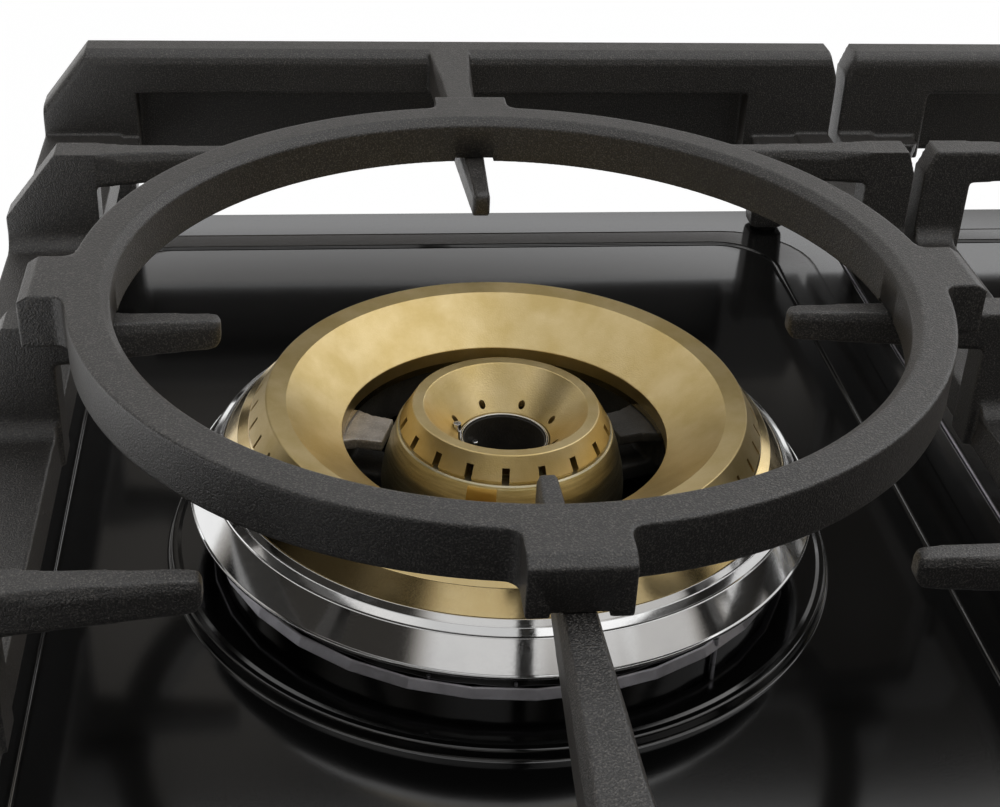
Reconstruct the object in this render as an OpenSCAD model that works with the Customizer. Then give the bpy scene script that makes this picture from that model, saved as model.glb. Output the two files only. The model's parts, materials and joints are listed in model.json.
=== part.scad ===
// Built-in gas cooktop with a dual-ring wok burner at the left and two pairs
// of smaller burners. X runs along the front edge, Y to the back and Z up, and
// the origin is at the middle of the under-box's floor. Heights named _z are
// over the flat rim of the trays, unless their note says otherwise.

/* [Overall] */
// Width over the outer edges
cooktop_w = 900; // [870:5:960]
// Depth over the outer edges
cooktop_d = 520; // [505:5:560]
// Height of the trays' rim over the underside of the under-box
rim_h = 62; // [60:1:90]
// Thickness of the enamelled sheet
sheet_t = 1.5; // [1:0.1:2]
// Height of the folded outer edge
edge_h = 6; // [5:0.5:8]
// Radius of the outer corners
corner_r = 8; // [4:1:16]
// Depth of the control panel
panel_d = 95; // [90:1:105]
// Width of the joint between two sheets
joint_gap = 1; // [0.8:0.1:1.6]

/* [Trays] */
// Flat rim beside the dish, from the joint's middle
rim_side = 11.6; // [9:0.2:14]
// Flat rim before and behind the dish
rim_back = 19.8; // [18:0.2:24]
// Width of the slope at the sides
slope_side = 15.7; // [10:0.5:20]
// Width of the slope at the front and back
slope_back = 9.4; // [6:0.2:12]
// Fall of the slope
slope_drop = 1.2; // [0.6:0.1:2]
// Height of the lip between the slope and the floor
lip_drop = 0.8; // [0.5:0.1:1.5]
// Corner radius of the dish
dish_r = 30; // [24:1:40]
// Height of a burner's plateau over the rim
plateau_z = 2.5; // [1.5:0.1:4]

/* [Grates] */
// Height of the grates' top over the rim
grate_z = 70; // [66:0.5:74]
// Gap between two grates
grate_gap = 3.5; // [2:0.1:6]
// Underside of the rails over the rim
rail_z = 28; // [24:0.5:32]
// Height of the rails
rail_h = 10.4; // [8:0.2:14]
// Width of a rail at the cooktop's outer side
outer_rail_w = 28; // [24:0.5:32]
// Width of a rail beside another grate
inner_rail_w = 14; // [12:0.5:18]
// Thickness of the front and rear bars
bar_t = 13; // [11:0.5:15]
// Distance of the side fingers' outer rows from the middle
row_y = 111.5; // [104:0.5:118]
// Thickness of a post
post_t = 10; // [8:0.5:11]
// Distance of the side fingers' tips from the wok burner's axis
finger_tip = 77.4; // [76.5:0.1:84]
// Width of a finger's tip
finger_tip_w = 5.6; // [4:0.2:7]

/* [Wok ring] */
// Outer radius of the ring
ring_r = 113.7; // [110:0.1:116]
// Radial width of the ring
ring_w = 10.3; // [8:0.1:14]
// Height of the ring
ring_h = 13.2; // [10:0.1:18]
// Width of a tab
tab_w = 23.6; // [20:0.2:28]
// Width of the notch that straddles a finger
notch_w = 12.4; // [12:0.1:14]

/* [Wok burner] */
// Radius of the outer cap's rim
cap_rim_r = 65; // [64:0.1:66]
// Height of the outer cap's rim over the tray rim
cap_rim_z = 45.9; // [44:0.1:48]
// Radius of the hole in the outer cap
cap_hole_r = 44.6; // [43:0.1:46]
// Radius of the outer cap's lower edge
cap_edge_r = 69.8; // [69:0.1:70.5]
// Outer radius of the flame ring
flame_r = 77; // [76:0.1:77.5]
// Radius of the steel skirt's lower edge
skirt_r = 85.9; // [84:0.1:88]
// Gas slots in the outer cap
outer_slots = 48; // [24:1:60]
// Radius of the inner cap's rim
inner_rim_r = 25.5; // [24.5:0.1:26.5]
// Radius of the inner burner's bore
inner_bore_r = 12.7; // [12:0.1:13.2]
// Gas slots in the inner cap
inner_slots = 18; // [12:1:24]

/* [Small burners] */
// Crown radius of the rapid burner
rapid_r = 40; // [34:1:44]
// Crown radius of the two semi-rapid burners
semi_r = 31; // [28:1:36]
// Crown radius of the simmer burner
simmer_r = 24; // [22:1:28]
// Distance of the small burners from the grate's middle
pair_y = 111.5; // [104:0.5:116]

/* [Knobs] */
// Radius of a knob
knob_r = 21; // [17:0.5:24]
// Height of a knob
knob_h = 25; // [18:0.5:32]
// Distance between two knobs
knob_pitch = 100; // [80:1:120]
// Travel of a knob when it is pushed
push_travel = 4; // [2:0.5:4]

/* [Hidden] */
$fn = 96;
blend_fn = 32;
// Overrun of every cut past the face that it opens
over = 1;

// Layout
edge_margin = 3;
pitch = (cooktop_w - 2 * edge_margin) / 3;
tray_d = cooktop_d - panel_d;
burner_y = (cooktop_d - tray_d) / 2;
panel_front = -cooktop_d / 2;
panel_back = panel_front + panel_d;
knob_y = panel_front + panel_d / 2;
section_x = [-pitch, 0, pitch];
small_place = [[0, pair_y], [0, -pair_y], [pitch, pair_y], [pitch, -pair_y]];
small_r = [rapid_r, semi_r, semi_r, simmer_r];
knob_x = [-2 * knob_pitch, -knob_pitch, 0, knob_pitch, 2 * knob_pitch];

// Tray
dish_half_w = pitch / 2 - rim_side;
dish_half_d = tray_d / 2 - rim_back;
floor_half_w = dish_half_w - slope_side;
floor_half_d = dish_half_d - slope_back;
floor_drop = slope_drop + lip_drop;
plateau_step = 2.5;
through = 30;
wok_plateau_r = 91.1;
small_plateau_grow = 22;
wok_hole_r = 74;
small_hole_cut = 4;
lead_grow = 5.6;
lead_angles = [150, 210];

// Under-box
box_side = 25;
box_front = 20;
box_rear = 25;
box_t = 1;
seam = 0.05;
vent_w = 4;
vent_l = 60;
vent_pitch = 14;
vent_count = 9;
air_window_w = 120;
air_window_low = 8;
air_window_high = 28;
box_half_w = cooktop_w / 2 - box_side;
box_y0 = panel_front + box_front;
box_y1 = cooktop_d / 2 - box_rear;
box_top = -sheet_t - floor_drop;

// Worktop joint
seal_inset = 5;
seal_w = 7;
strip_w = 0.6;
strip_base_w = 12;
strip_t = 1.5;

// Grate
grate_half_w = pitch / 2 - grate_gap / 2;
bar_edge = 1.25;
bar_y1 = tray_d / 2 - bar_edge;
bar_y0 = bar_y1 - bar_t;
outer_chamfer = [16.7, 21.2];
inner_chamfer = [3, 8];
outer_post_w = 28.9;
inner_post_w = 16.2;
window_margin = 33.6;
window_z = 54.6;
web_t = 4;
bar_bevel = 4.3;
fillet_r = 5.5;
finger_root_w = 9;
finger_root_z = 58.5;
finger_tip_z = 62;
tip_lean = 1.6;
centre_root_w = 14.7;
centre_tip_w = 5.2;
centre_tip = finger_tip;
pair_tip = 30;
leg_w = 15;
leg_d = 14;
outer_leg_in = 17.2;
inner_leg_in = 13.4;
foot_t = 1.5;
foot_r = 5;

// Wok ring
ring_bevel = 2.3;
tab_out = 8;
tab_chamfer = 3.1;
tab_chamfer_h = 1.9;
prong_h = 3.4;
tab_root = 4;

// Wok burner
wall = 2;
cap_rim_w = 5.5;
cap_cone_h = 7.7;
cap_funnel_h = 11.4;
cap_foot_h = 4;
cap_rim_in_r = cap_rim_r - cap_rim_w;
cap_rim_fall = 0.7;
cap_edge_z = cap_rim_z - cap_cone_h;
cap_hole_z = cap_rim_z - cap_funnel_h;
flame_floor_z = cap_hole_z - cap_foot_h;
flame_under_z = flame_floor_z - wall;
flame_wall = 3.3;
ledge_w = 2.7;
ledge_fall = 2.4;
flame_edge_h = 1.5;
ledge_r = cap_edge_r + ledge_w;
ledge_z = cap_edge_z - ledge_fall;
flame_edge_z = flame_under_z + flame_edge_h;
slot_w = 1.1;
slot_h = 4.2;
skirt_t = 1.5;
skirt_fall = 9.8;
skirt_edge_z = flame_under_z - skirt_fall;
skirt_band = [1.3, 1.4];
skirt_step = [2.5, 1.4];
skirt_seat_r = 72;
head_step = 2.4;
head_in_r = cap_hole_r + head_step;
head_z = 15;
heat_plate_t = 3;
heat_plate_sides = 18;
peg_r = 1;
peg_h = 5;
peg_count = 6;
base_r = 79;
heat_plate_over = 3;
heat_plate_r = base_r + heat_plate_over;
base_wall = 9;
base_floor_t = 3;
arm_w = 16;
arm_rise = 3;
hub_r = 34;
hub_z = 10;
hub_t = 7;
inner_cone_w = 3.6;
inner_cone_h = 6.9;
inner_sink = 3.6;
inner_edge_r = inner_rim_r + inner_cone_w;
inner_rim_z = cap_rim_z - inner_sink;
inner_edge_z = inner_rim_z - inner_cone_h;
inner_rim_w = 3;
chamber_r = inner_edge_r - inner_rim_w;
inner_funnel_h = 10.6;
inner_foot_h = 2.7;
inner_hole_z = inner_rim_z - inner_funnel_h;
inner_floor_z = inner_hole_z - inner_foot_h;
inner_slot_w = 2.2;
inner_slot_h = 4.2;
inner_slot_turn = 4;
inner_hole_ring = 15.6;
inner_hole_r = 0.9;
inner_holes = 8;
inner_foot_r = 34;
bore_ring_t = 0.8;
bore_ring_rise = 0.2;
bore_ring_seat = 5;
cup_r = 12;
cup_wall = 3;
cup_z = -30;
jet_r = 4.5;
jet_h = 12;
jet_bore_r = 0.6;
inner_cup = [22, 0];
outer_cup = [50, 29];
mix_r = 6;
mix_wall = 1.5;
boss_r = 6.5;
boss_l = 5;
clear = 0.3;
running = 0.05;

// Small burner, heights over the rim
small_flange_t = 3;
small_flange_grow = 1.8;
small_cup_z = 14;
small_skirt_t = 1.2;
small_skirt_grow = 15;
small_skirt_top = 3;
small_head_h = 12;
small_head_wall = 5;
small_head_floor = 2.5;
small_spigot = 6;
small_cap_h = 7;
small_cap_over = 1;
small_cap_rim = 3;
small_cap_dish = 3.5;
small_slot_w = 1.6;
small_slot_h = 4;
small_slot_step = 15;
small_bore_cut = 12;

// Electrodes
rod_r = 2.6;
rod_below = 14;
rod_top = 19;
tip_r = 0.8;
tip_h = 6;
sense_r = 2;
sense_top = 23;
wok_lead_at = 10.2;
wok_lead_r = 1.1;
wok_lead_turn = 136;
wok_lead_base = 8;

// Gas parts, heights over the rim
pipe_r = 4;
pipe_wall = 0.8;
pipe_z = -22;
pipe_bend = 14;
twin_pitch = 7;
manifold_r = 8;
manifold_wall = 1.5;
manifold_z = -44;
manifold_side = 20;
manifold_end = 30;
valve_w = 26;
valve_d = 22;
valve_top = -16;
valve_h = 36;
nipple_r = 5;
nipple_l = 3;
valve_boss_l = 4;
inlet_r = 10.45;
inlet_l = 15;
inlet_bore_r = 5;
inlet_hex_r = 14;
inlet_hex_l = 8;

// Knob
spindle_r = 3;
spindle_low = -44;
spindle_high = 20;
knob_gap = 6;
knob_wall = 2.5;
knob_taper = 1.5;
knob_skirt_h = 4;
knob_skirt_grow = 1.5;
knob_top_t = 3;
hub_wall = 3;
mark_w = 2;
mark_l = 13;
mark_d = 0.8;
bezel_grow = 5;
bezel_t = 1.6;
bezel_w = 7;
collar_r = 7;
collar_h = 3;
collar_z = -10;
panel_hole_r = 6;

// Electric boxes, brackets and screws
module_size = [90, 46, 30];
module_side = 50;
module_front = 47;
terminal_size = [60, 40, 28];
terminal_side = 65;
terminal_x = -box_half_w + terminal_side + terminal_size[0] / 2;
gland_r = 9;
gland_l = 12;
clamp_y = [-170, 170];
clamp_w = 24;
clamp_t = 2;
clamp_reach = 20;
clamp_h = 26;
clamp_low = 22;
clamp_hole = 17.3;
screw_r = 2;
screw_head_r = 3.6;
screw_head_h = 2.4;
screw_l = 6;

module rounded_rect(w, d, r) {
    square([w - 2 * r, d], center = true);
    square([w, d - 2 * r], center = true);
    for (sx = [-1, 1], sy = [-1, 1])
        translate([sx * (w / 2 - r), sy * (d / 2 - r)])
            circle(r);
}

module rounded_slab(w, d, r, z0, z1) {
    translate([0, 0, z0])
        linear_extrude(z1 - z0)
            rounded_rect(w, d, r);
}

// A box given by its lowest and highest corner
module block(low, high) {
    translate(low)
        cube(high - low);
}

module tube(r_out, r_in, z0, z1) {
    translate([0, 0, z0])
        difference() {
            cylinder(r = r_out, h = z1 - z0);
            translate([0, 0, -over])
                cylinder(r = r_in, h = z1 - z0 + 2 * over);
        }
}

module turned(points) {
    rotate_extrude()
        polygon(points);
}

// An outline in X and Z, extruded along Y from y0 to y1
module along_y(y0, y1) {
    translate([0, y1, 0])
        rotate([90, 0, 0])
            linear_extrude(y1 - y0)
                children();
}

// An outline in Y and Z, extruded along X from x0 to x1
module along_x(x0, x1) {
    translate([x0, 0, 0])
        rotate([90, 0, 90])
            linear_extrude(x1 - x0)
                children();
}

// Moves a piece from a section's own frame to the cooktop's frame
module at_section(i) {
    translate([section_x[i], burner_y, rim_h])
        children();
}

module at_small(k) {
    translate([small_place[k][0], burner_y + small_place[k][1], rim_h])
        children();
}

module at_knob(k) {
    translate([knob_x[k], knob_y, rim_h])
        children();
}

// Covering shell of the whole cooktop: a flat sheet with a folded edge
module cover_shell() {
    difference() {
        rounded_slab(cooktop_w, cooktop_d, corner_r, rim_h - edge_h, rim_h);
        rounded_slab(cooktop_w - 2 * sheet_t, cooktop_d - 2 * sheet_t, corner_r - sheet_t,
            rim_h - edge_h - over, rim_h - sheet_t);
    }
}

// The stretch of the shell that belongs to section i
module section_shell(i) {
    x0 = i == 0 ? -cooktop_w / 2 - over : section_x[i] - (pitch - joint_gap) / 2;
    x1 = i == 2 ? cooktop_w / 2 + over : section_x[i] + (pitch - joint_gap) / 2;
    intersection() {
        cover_shell();
        block([x0, panel_back + joint_gap / 2, 0], [x1, cooktop_d / 2 + over, rim_h + over]);
    }
}

module dish_body() {
    rounded_slab(2 * (dish_half_w + sheet_t), 2 * (dish_half_d + sheet_t), dish_r + sheet_t,
        box_top, -sheet_t);
}

module dish_cut() {
    hull() {
        rounded_slab_low(dish_half_w, dish_half_d, dish_r, 0, over);
        rounded_slab_low(floor_half_w, floor_half_d, dish_r - slope_back, -slope_drop, over);
    }
    rounded_slab(2 * floor_half_w, 2 * floor_half_d, dish_r - slope_back, -floor_drop, over);
}

// A slab with few corner facets, for the sloping cut
module rounded_slab_low(half_w, half_d, r, z0, h) {
    translate([0, 0, z0])
        linear_extrude(h)
            rounded_rect(2 * half_w, 2 * half_d, r, $fn = blend_fn);
}

// Raised disc of sheet under a burner, with the burner's hole
module plateau(top_r, hole_r) {
    turned([
        [hole_r, plateau_z - sheet_t],
        [hole_r, plateau_z],
        [top_r, plateau_z],
        [top_r + plateau_step, -floor_drop],
        [top_r + plateau_step, box_top],
        [top_r + plateau_step - sheet_t, box_top],
        [top_r - sheet_t, plateau_z - sheet_t]
    ]);
}

module tray(i) {
    difference() {
        union() {
            section_shell(i);
            at_section(i)
                dish_body();
        }
        at_section(i) {
            dish_cut();
            if (i == 0)
                cylinder(r = wok_plateau_r + plateau_step - sheet_t / 2, h = through, center = true);
        }
        if (i > 0)
            for (k = [2 * i - 2, 2 * i - 1])
                at_small(k)
                    cylinder(r = small_r[k] + small_plateau_grow + plateau_step - sheet_t / 2,
                        h = through, center = true);
    }
    if (i == 0)
        at_section(i)
            plateau(wok_plateau_r, wok_hole_r);
    if (i > 0)
        for (k = [2 * i - 2, 2 * i - 1])
            at_small(k)
                difference() {
                    plateau(small_r[k] + small_plateau_grow, small_r[k] - small_hole_cut);
                    lead_holes(k);
                }
}

// Holes for the igniter and the thermocouple of small burner k
module lead_holes(k) {
    for (n = [0, 1])
        rotate(lead_angles[n])
            translate([small_r[k] + lead_grow, 0, -edge_h])
                cylinder(r = (n == 0 ? rod_r : sense_r) + clear, h = through);
}

module left_tray() {
    color([0.04, 0.04, 0.045])
        tray(0);
}

module centre_tray() {
    color([0.04, 0.04, 0.045])
        tray(1);
}

module right_tray() {
    color([0.04, 0.04, 0.045])
        tray(2);
}

module control_panel() {
    color([0.04, 0.04, 0.045])
        difference() {
            intersection() {
                cover_shell();
                block([-cooktop_w / 2 - over, panel_front - over, 0],
                    [cooktop_w / 2 + over, panel_back - joint_gap / 2, rim_h + over]);
            }
            for (k = [0:4])
                at_knob(k)
                    cylinder(r = panel_hole_r, h = through, center = true);
        }
}

// Steel strips in the joints, each on a wider base under the sheets
module joint_strips() {
    seam_y1 = cooktop_d / 2 - sheet_t - clear;
    seam_x1 = cooktop_w / 2 - sheet_t - clear;
    base_y0 = panel_back + strip_base_w / 2;
    base_y1 = cooktop_d / 2 - seal_inset - seal_w - clear;
    base_x1 = cooktop_w / 2 - seal_inset - seal_w - clear;
    color([0.6, 0.6, 0.62])
        translate([0, 0, rim_h]) {
            for (s = [-1, 1]) {
                block([s * pitch / 2 - strip_w / 2, panel_back, -sheet_t],
                    [s * pitch / 2 + strip_w / 2, seam_y1, 0]);
                block([s * pitch / 2 - strip_base_w / 2, panel_back, -sheet_t - strip_t],
                    [s * pitch / 2 + strip_base_w / 2, base_y1, -sheet_t]);
            }
            block([-seam_x1, panel_back - strip_w / 2, -sheet_t],
                [seam_x1, panel_back + strip_w / 2, 0]);
            block([-base_x1, panel_back - strip_base_w / 2, -sheet_t - strip_t],
                [base_x1, panel_back + strip_base_w / 2, -sheet_t]);
        }
}

module edge_seal() {
    color([0.12, 0.12, 0.12])
        difference() {
            rounded_slab(cooktop_w - 2 * seal_inset, cooktop_d - 2 * seal_inset, corner_r - sheet_t,
                rim_h - edge_h, rim_h - sheet_t);
            rounded_slab(cooktop_w - 2 * seal_inset - 2 * seal_w, cooktop_d - 2 * seal_inset - 2 * seal_w,
                corner_r - sheet_t, rim_h - edge_h - over, rim_h);
        }
}

// Under-box of five sheets, with a thin seam where two of them meet
module base_box() {
    color([0.62, 0.63, 0.64]) {
        difference() {
            block([-box_half_w, box_y0, 0], [box_half_w, box_y1, box_t]);
            for (s = [-1, 1], k = [0:vent_count - 1])
                block([s * cooktop_w / 4 + (k - vent_count / 2) * vent_pitch, -vent_l / 2, -over],
                    [s * cooktop_w / 4 + (k - vent_count / 2) * vent_pitch + vent_w, vent_l / 2,
                        box_t + over]);
        }
        cross_wall(box_y0, rim_h - sheet_t);
        difference() {
            cross_wall(box_y1 - box_t, rim_h + box_top);
            block([-air_window_w / 2, box_y1 - box_t - over, air_window_low],
                [air_window_w / 2, box_y1 + over, air_window_high]);
            translate([box_half_w - manifold_side, box_y1, rim_h + manifold_z])
                rotate([90, 0, 0])
                    cylinder(r = manifold_r, h = through, center = true);
            translate([terminal_x, box_y1, box_t + terminal_size[2] / 2])
                rotate([90, 0, 0])
                    cylinder(r = gland_r, h = through, center = true);
        }
        for (s = [0, 1])
            mirror([s, 0, 0])
                side_wall();
    }
}

// Front or rear wall of the under-box
module cross_wall(y0, top) {
    half_w = box_half_w - box_t - seam;
    block([-half_w, y0, box_t + seam], [half_w, y0 + box_t, top]);
}

module side_wall() {
    difference() {
        union() {
            block([box_half_w - box_t, box_y0, box_t + seam], [box_half_w, box_y1, rim_h + box_top]);
            block([box_half_w - box_t, box_y0, box_t + seam],
                [box_half_w, panel_back - strip_base_w, rim_h - sheet_t]);
        }
        for (y = clamp_y)
            translate([box_half_w, y, clamp_low + clamp_hole])
                rotate([0, 90, 0])
                    cylinder(r = screw_r, h = through, center = true);
    }
}

// Outline of a post in X and Z, with the outer corner cut off
module post_outline(width, chamfer) {
    polygon([
        [grate_half_w - width, rail_z],
        [grate_half_w, rail_z],
        [grate_half_w, grate_z - chamfer[1]],
        [grate_half_w - chamfer[0], grate_z],
        [grate_half_w - width, grate_z]
    ]);
}

// Half of a bar's outline, from the middle to the side
module bar_outline(chamfer) {
    polygon([
        [-over, rail_z],
        [grate_half_w, rail_z],
        [grate_half_w, grate_z - chamfer[1]],
        [grate_half_w - chamfer[0], grate_z],
        [-over, grate_z]
    ]);
}

// A finger along X from root to tip, where the tip is the smaller x
module finger(root, tip, root_w, tip_w, root_z, tip_z) {
    intersection() {
        linear_extrude(grate_z)
            polygon([[tip, -tip_w / 2], [root, -root_w / 2], [root, root_w / 2], [tip, tip_w / 2]]);
        along_y(-root_w, root_w)
            polygon([[tip, tip_z + tip_lean], [tip + tip_lean, tip_z], [root, root_z], [root, grate_z],
                [tip + tip_lean / 2, grate_z], [tip, grate_z - tip_lean]]);
    }
}

// Concave corner between a post and the rail
module post_fillet(width) {
    difference() {
        block([grate_half_w - width, 0, rail_z + rail_h - fillet_r],
            [grate_half_w, fillet_r, rail_z + rail_h + fillet_r]);
        translate([grate_half_w - width - over, fillet_r, rail_z + rail_h + fillet_r])
            rotate([0, 90, 0])
                cylinder(r = fillet_r, h = width + 2 * over);
    }
}

module leg(s, outer, sy) {
    leg_out = outer ? outer_leg_in : inner_leg_in;
    block([min(s * (grate_half_w - leg_out), s * (grate_half_w - leg_out - leg_w)),
            min(sy * (bar_y0 - leg_d / 2), sy * (bar_y0 + leg_d / 2)), foot_t],
        [max(s * (grate_half_w - leg_out), s * (grate_half_w - leg_out - leg_w)),
            max(sy * (bar_y0 - leg_d / 2), sy * (bar_y0 + leg_d / 2)), rail_z + rail_h]);
}

// Foot under the leg of the same corner
module foot(s, outer, sy) {
    leg_out = outer ? outer_leg_in : inner_leg_in;
    translate([s * (grate_half_w - leg_out - leg_w / 2), sy * bar_y0, 0])
        cylinder(r = foot_r, h = foot_t);
}

// Everything on one long side of a grate
module grate_side(s, outer, pair) {
    rail_w = outer ? outer_rail_w : inner_rail_w;
    post_w = outer ? outer_post_w : inner_post_w;
    chamfer = outer ? outer_chamfer : inner_chamfer;
    mirror([s < 0 ? 1 : 0, 0, 0]) {
        block([grate_half_w - rail_w, -bar_y1, rail_z], [grate_half_w, bar_y1, rail_z + rail_h]);
        for (y = [-row_y, 0, row_y])
            translate([0, y, 0]) {
                along_y(-post_t / 2, post_t / 2)
                    post_outline(post_w, chamfer);
                translate([0, post_t / 2, 0])
                    post_fillet(rail_w);
                mirror([0, 1, 0])
                    translate([0, post_t / 2, 0])
                        post_fillet(rail_w);
                if (!(pair && y == 0))
                    finger(grate_half_w - post_w + over, pair ? pair_tip : finger_tip - tip_lean,
                        finger_root_w, finger_tip_w, finger_root_z, finger_tip_z);
            }
        for (sy = [-1, 1])
            intersection() {
                along_y(min(sy * bar_y0, sy * bar_y1), max(sy * bar_y0, sy * bar_y1))
                    bar_outline(chamfer);
                along_x(-over, grate_half_w)
                    polygon([[sy * bar_y0, rail_z], [sy * bar_y1, rail_z], [sy * bar_y1, grate_z],
                        [sy * (bar_y0 + bar_bevel), grate_z], [sy * bar_y0, grate_z - bar_bevel]]);
            }
    }
    for (sy = [-1, 1])
        leg(s, outer, sy);
}

// A grate; outer_left and outer_right say which sides face the cooktop's edge
module grate(outer_left, outer_right, pair) {
    difference() {
        union() {
            grate_side(-1, outer_left, pair);
            grate_side(1, outer_right, pair);
        }
        for (sy = [-1, 1])
            block([-grate_half_w + window_margin, min(sy * (bar_y0 - over), sy * (bar_y1 - web_t)),
                    rail_z - over],
                [grate_half_w - window_margin, max(sy * (bar_y0 - over), sy * (bar_y1 - web_t)), window_z]);
    }
    for (a = [-90, 90])
        rotate(a)
            finger(bar_y0 + bar_bevel, pair ? row_y + pair_tip : centre_tip - tip_lean, centre_root_w,
                centre_tip_w, window_z, finger_tip_z);
    if (pair) {
        block([-grate_half_w + inner_post_w - over, -finger_root_w / 2, finger_root_z],
            [grate_half_w - inner_post_w + over, finger_root_w / 2, grate_z]);
        for (a = [-90, 90])
            rotate(a)
                mirror([1, 0, 0])
                    translate([-row_y, 0, 0])
                        finger(row_y, pair_tip, finger_root_w, finger_tip_w, finger_root_z, finger_tip_z);
    }
}

module grate_feet(outer_left, outer_right) {
    for (sy = [-1, 1]) {
        foot(-1, outer_left, sy);
        foot(1, outer_right, sy);
    }
}

module left_grate() {
    color([0.23, 0.22, 0.21])
        at_section(0)
            grate(true, false, false);
}

module centre_grate() {
    color([0.23, 0.22, 0.21])
        at_section(1)
            grate(false, false, true);
}

module right_grate() {
    color([0.23, 0.22, 0.21])
        at_section(2)
            grate(false, true, true);
}

module left_grate_feet() {
    color([0.1, 0.1, 0.1])
        at_section(0)
            grate_feet(true, false);
}

module centre_grate_feet() {
    color([0.1, 0.1, 0.1])
        at_section(1)
            grate_feet(false, false);
}

module right_grate_feet() {
    color([0.1, 0.1, 0.1])
        at_section(2)
            grate_feet(false, true);
}

// Wok ring with four tabs that straddle the fingers
module wok_ring() {
    top = grate_z + ring_h;
    color([0.23, 0.22, 0.21])
        at_section(0)
            difference() {
                union() {
                    turned([
                        [ring_r - ring_w, grate_z],
                        [ring_r, grate_z],
                        [ring_r, top],
                        [ring_r - ring_w + ring_bevel, top],
                        [ring_r - ring_w, top - ring_bevel]
                    ]);
                    for (a = [0:90:270])
                        rotate(a)
                            along_y(-tab_w / 2, tab_w / 2)
                                polygon([
                                    [ring_r - tab_root, grate_z - prong_h],
                                    [ring_r + tab_out + tab_chamfer, grate_z - prong_h],
                                    [ring_r + tab_out + tab_chamfer, top - tab_chamfer_h],
                                    [ring_r + tab_out, top],
                                    [ring_r - tab_root, top]
                                ]);
                }
                for (a = [0:90:270])
                    rotate(a)
                        block([ring_r - ring_w - over, -notch_w / 2, grate_z - prong_h - over],
                            [ring_r + tab_out + tab_chamfer + over, notch_w / 2, grate_z]);
            }
}

// Black base that stands on the plateau, with the cups of both injectors
module wok_base() {
    color([0.03, 0.03, 0.03])
        at_section(0)
            difference() {
                union() {
                    turned([
                        [0, plateau_z],
                        [base_r, plateau_z],
                        [base_r, head_z - heat_plate_t],
                        [base_r - base_wall, head_z - heat_plate_t],
                        [base_r - base_wall, plateau_z + base_floor_t],
                        [0, plateau_z + base_floor_t]
                    ]);
                    for (at = [inner_cup, outer_cup])
                        translate(at) {
                            translate([0, 0, cup_z])
                                cylinder(r = cup_r, h = plateau_z - cup_z);
                            pipe_boss();
                        }
                }
                for (at = [inner_cup, outer_cup])
                    translate(at) {
                        translate([0, 0, cup_z + cup_wall])
                            cylinder(r = cup_r - cup_wall, h = plateau_z - cup_z + edge_h);
                    }
                rotate(wok_lead_turn)
                    translate([wok_lead_at, 0, 0])
                        cylinder(r = wok_lead_r + running, h = through, center = true);
                rotate(wok_lead_turn + 180)
                    translate([wok_lead_at, 0, 0])
                        cylinder(r = wok_lead_r + running, h = through, center = true);
            }
}

// Boss on a cup's side, where a gas pipe ends
module pipe_boss() {
    translate([cup_r - cup_wall / 2, 0, pipe_z])
        rotate([0, 90, 0])
            cylinder(r = boss_r, h = boss_l + cup_wall / 2);
}

// Many-sided steel plate between the base and the head, on small pegs
module wok_heat_plate() {
    color([0.45, 0.45, 0.47])
        at_section(0) {
            difference() {
                translate([0, 0, head_z - heat_plate_t])
                    linear_extrude(heat_plate_t)
                        polygon([for (k = [0:heat_plate_sides - 1])
                            heat_plate_r * [cos(360 * k / heat_plate_sides),
                                sin(360 * k / heat_plate_sides)]]);
                cylinder(r = base_r - base_wall, h = head_z + over);
            }
            for (k = [0:peg_count - 1])
                rotate(360 * (k + 1 / 2) / peg_count)
                    translate([base_r + peg_r + clear / 2, 0, head_z - heat_plate_t - peg_h])
                        cylinder(r = peg_r, h = peg_h + heat_plate_t / 2);
        }
}

// Dark cast head: ring under the brass, hub and two arms
module wok_head() {
    arm_x = inner_foot_r + clear;
    color([0.12, 0.115, 0.11])
        at_section(0) {
            difference() {
                union() {
                    turned([
                        [head_in_r, head_z],
                        [flame_r - wall, head_z],
                        [flame_r - wall, flame_under_z - skirt_t],
                        [skirt_seat_r - clear, flame_under_z - skirt_t],
                        [skirt_seat_r - clear, flame_under_z],
                        [head_in_r, flame_under_z]
                    ]);
                    tube(hub_r, inner_bore_r, hub_z, hub_z + hub_t);
                    for (s = [0, 1])
                        mirror([s, 0, 0]) {
                            block([hub_r - wall, -arm_w / 2, hub_z + wall],
                                [head_in_r + wall, arm_w / 2, hub_z + hub_t]);
                            block([arm_x, -arm_w / 2, hub_z + wall],
                                [head_in_r + wall, arm_w / 2, flame_under_z]);
                            intersection() {
                                block([arm_x, -arm_w / 2, hub_z + wall],
                                    [cap_hole_r, arm_w / 2, flame_under_z + arm_rise]);
                                cylinder(r = cap_hole_r - clear, h = cap_rim_z);
                            }
                        }
                    mix_tube(inner_cup, hub_z);
                    mix_tube(outer_cup, head_z);
                }
                mix_bore(inner_cup, hub_z);
                mix_bore(outer_cup, head_z);
            }
        }
}

module mix_tube(at, top) {
    translate([at[0], at[1], plateau_z + base_floor_t / 2])
        cylinder(r = mix_r + mix_wall, h = top - plateau_z);
}

module mix_bore(at, top) {
    translate([at[0], at[1], plateau_z])
        cylinder(r = mix_r, h = top - plateau_z + wall);
}

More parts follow.
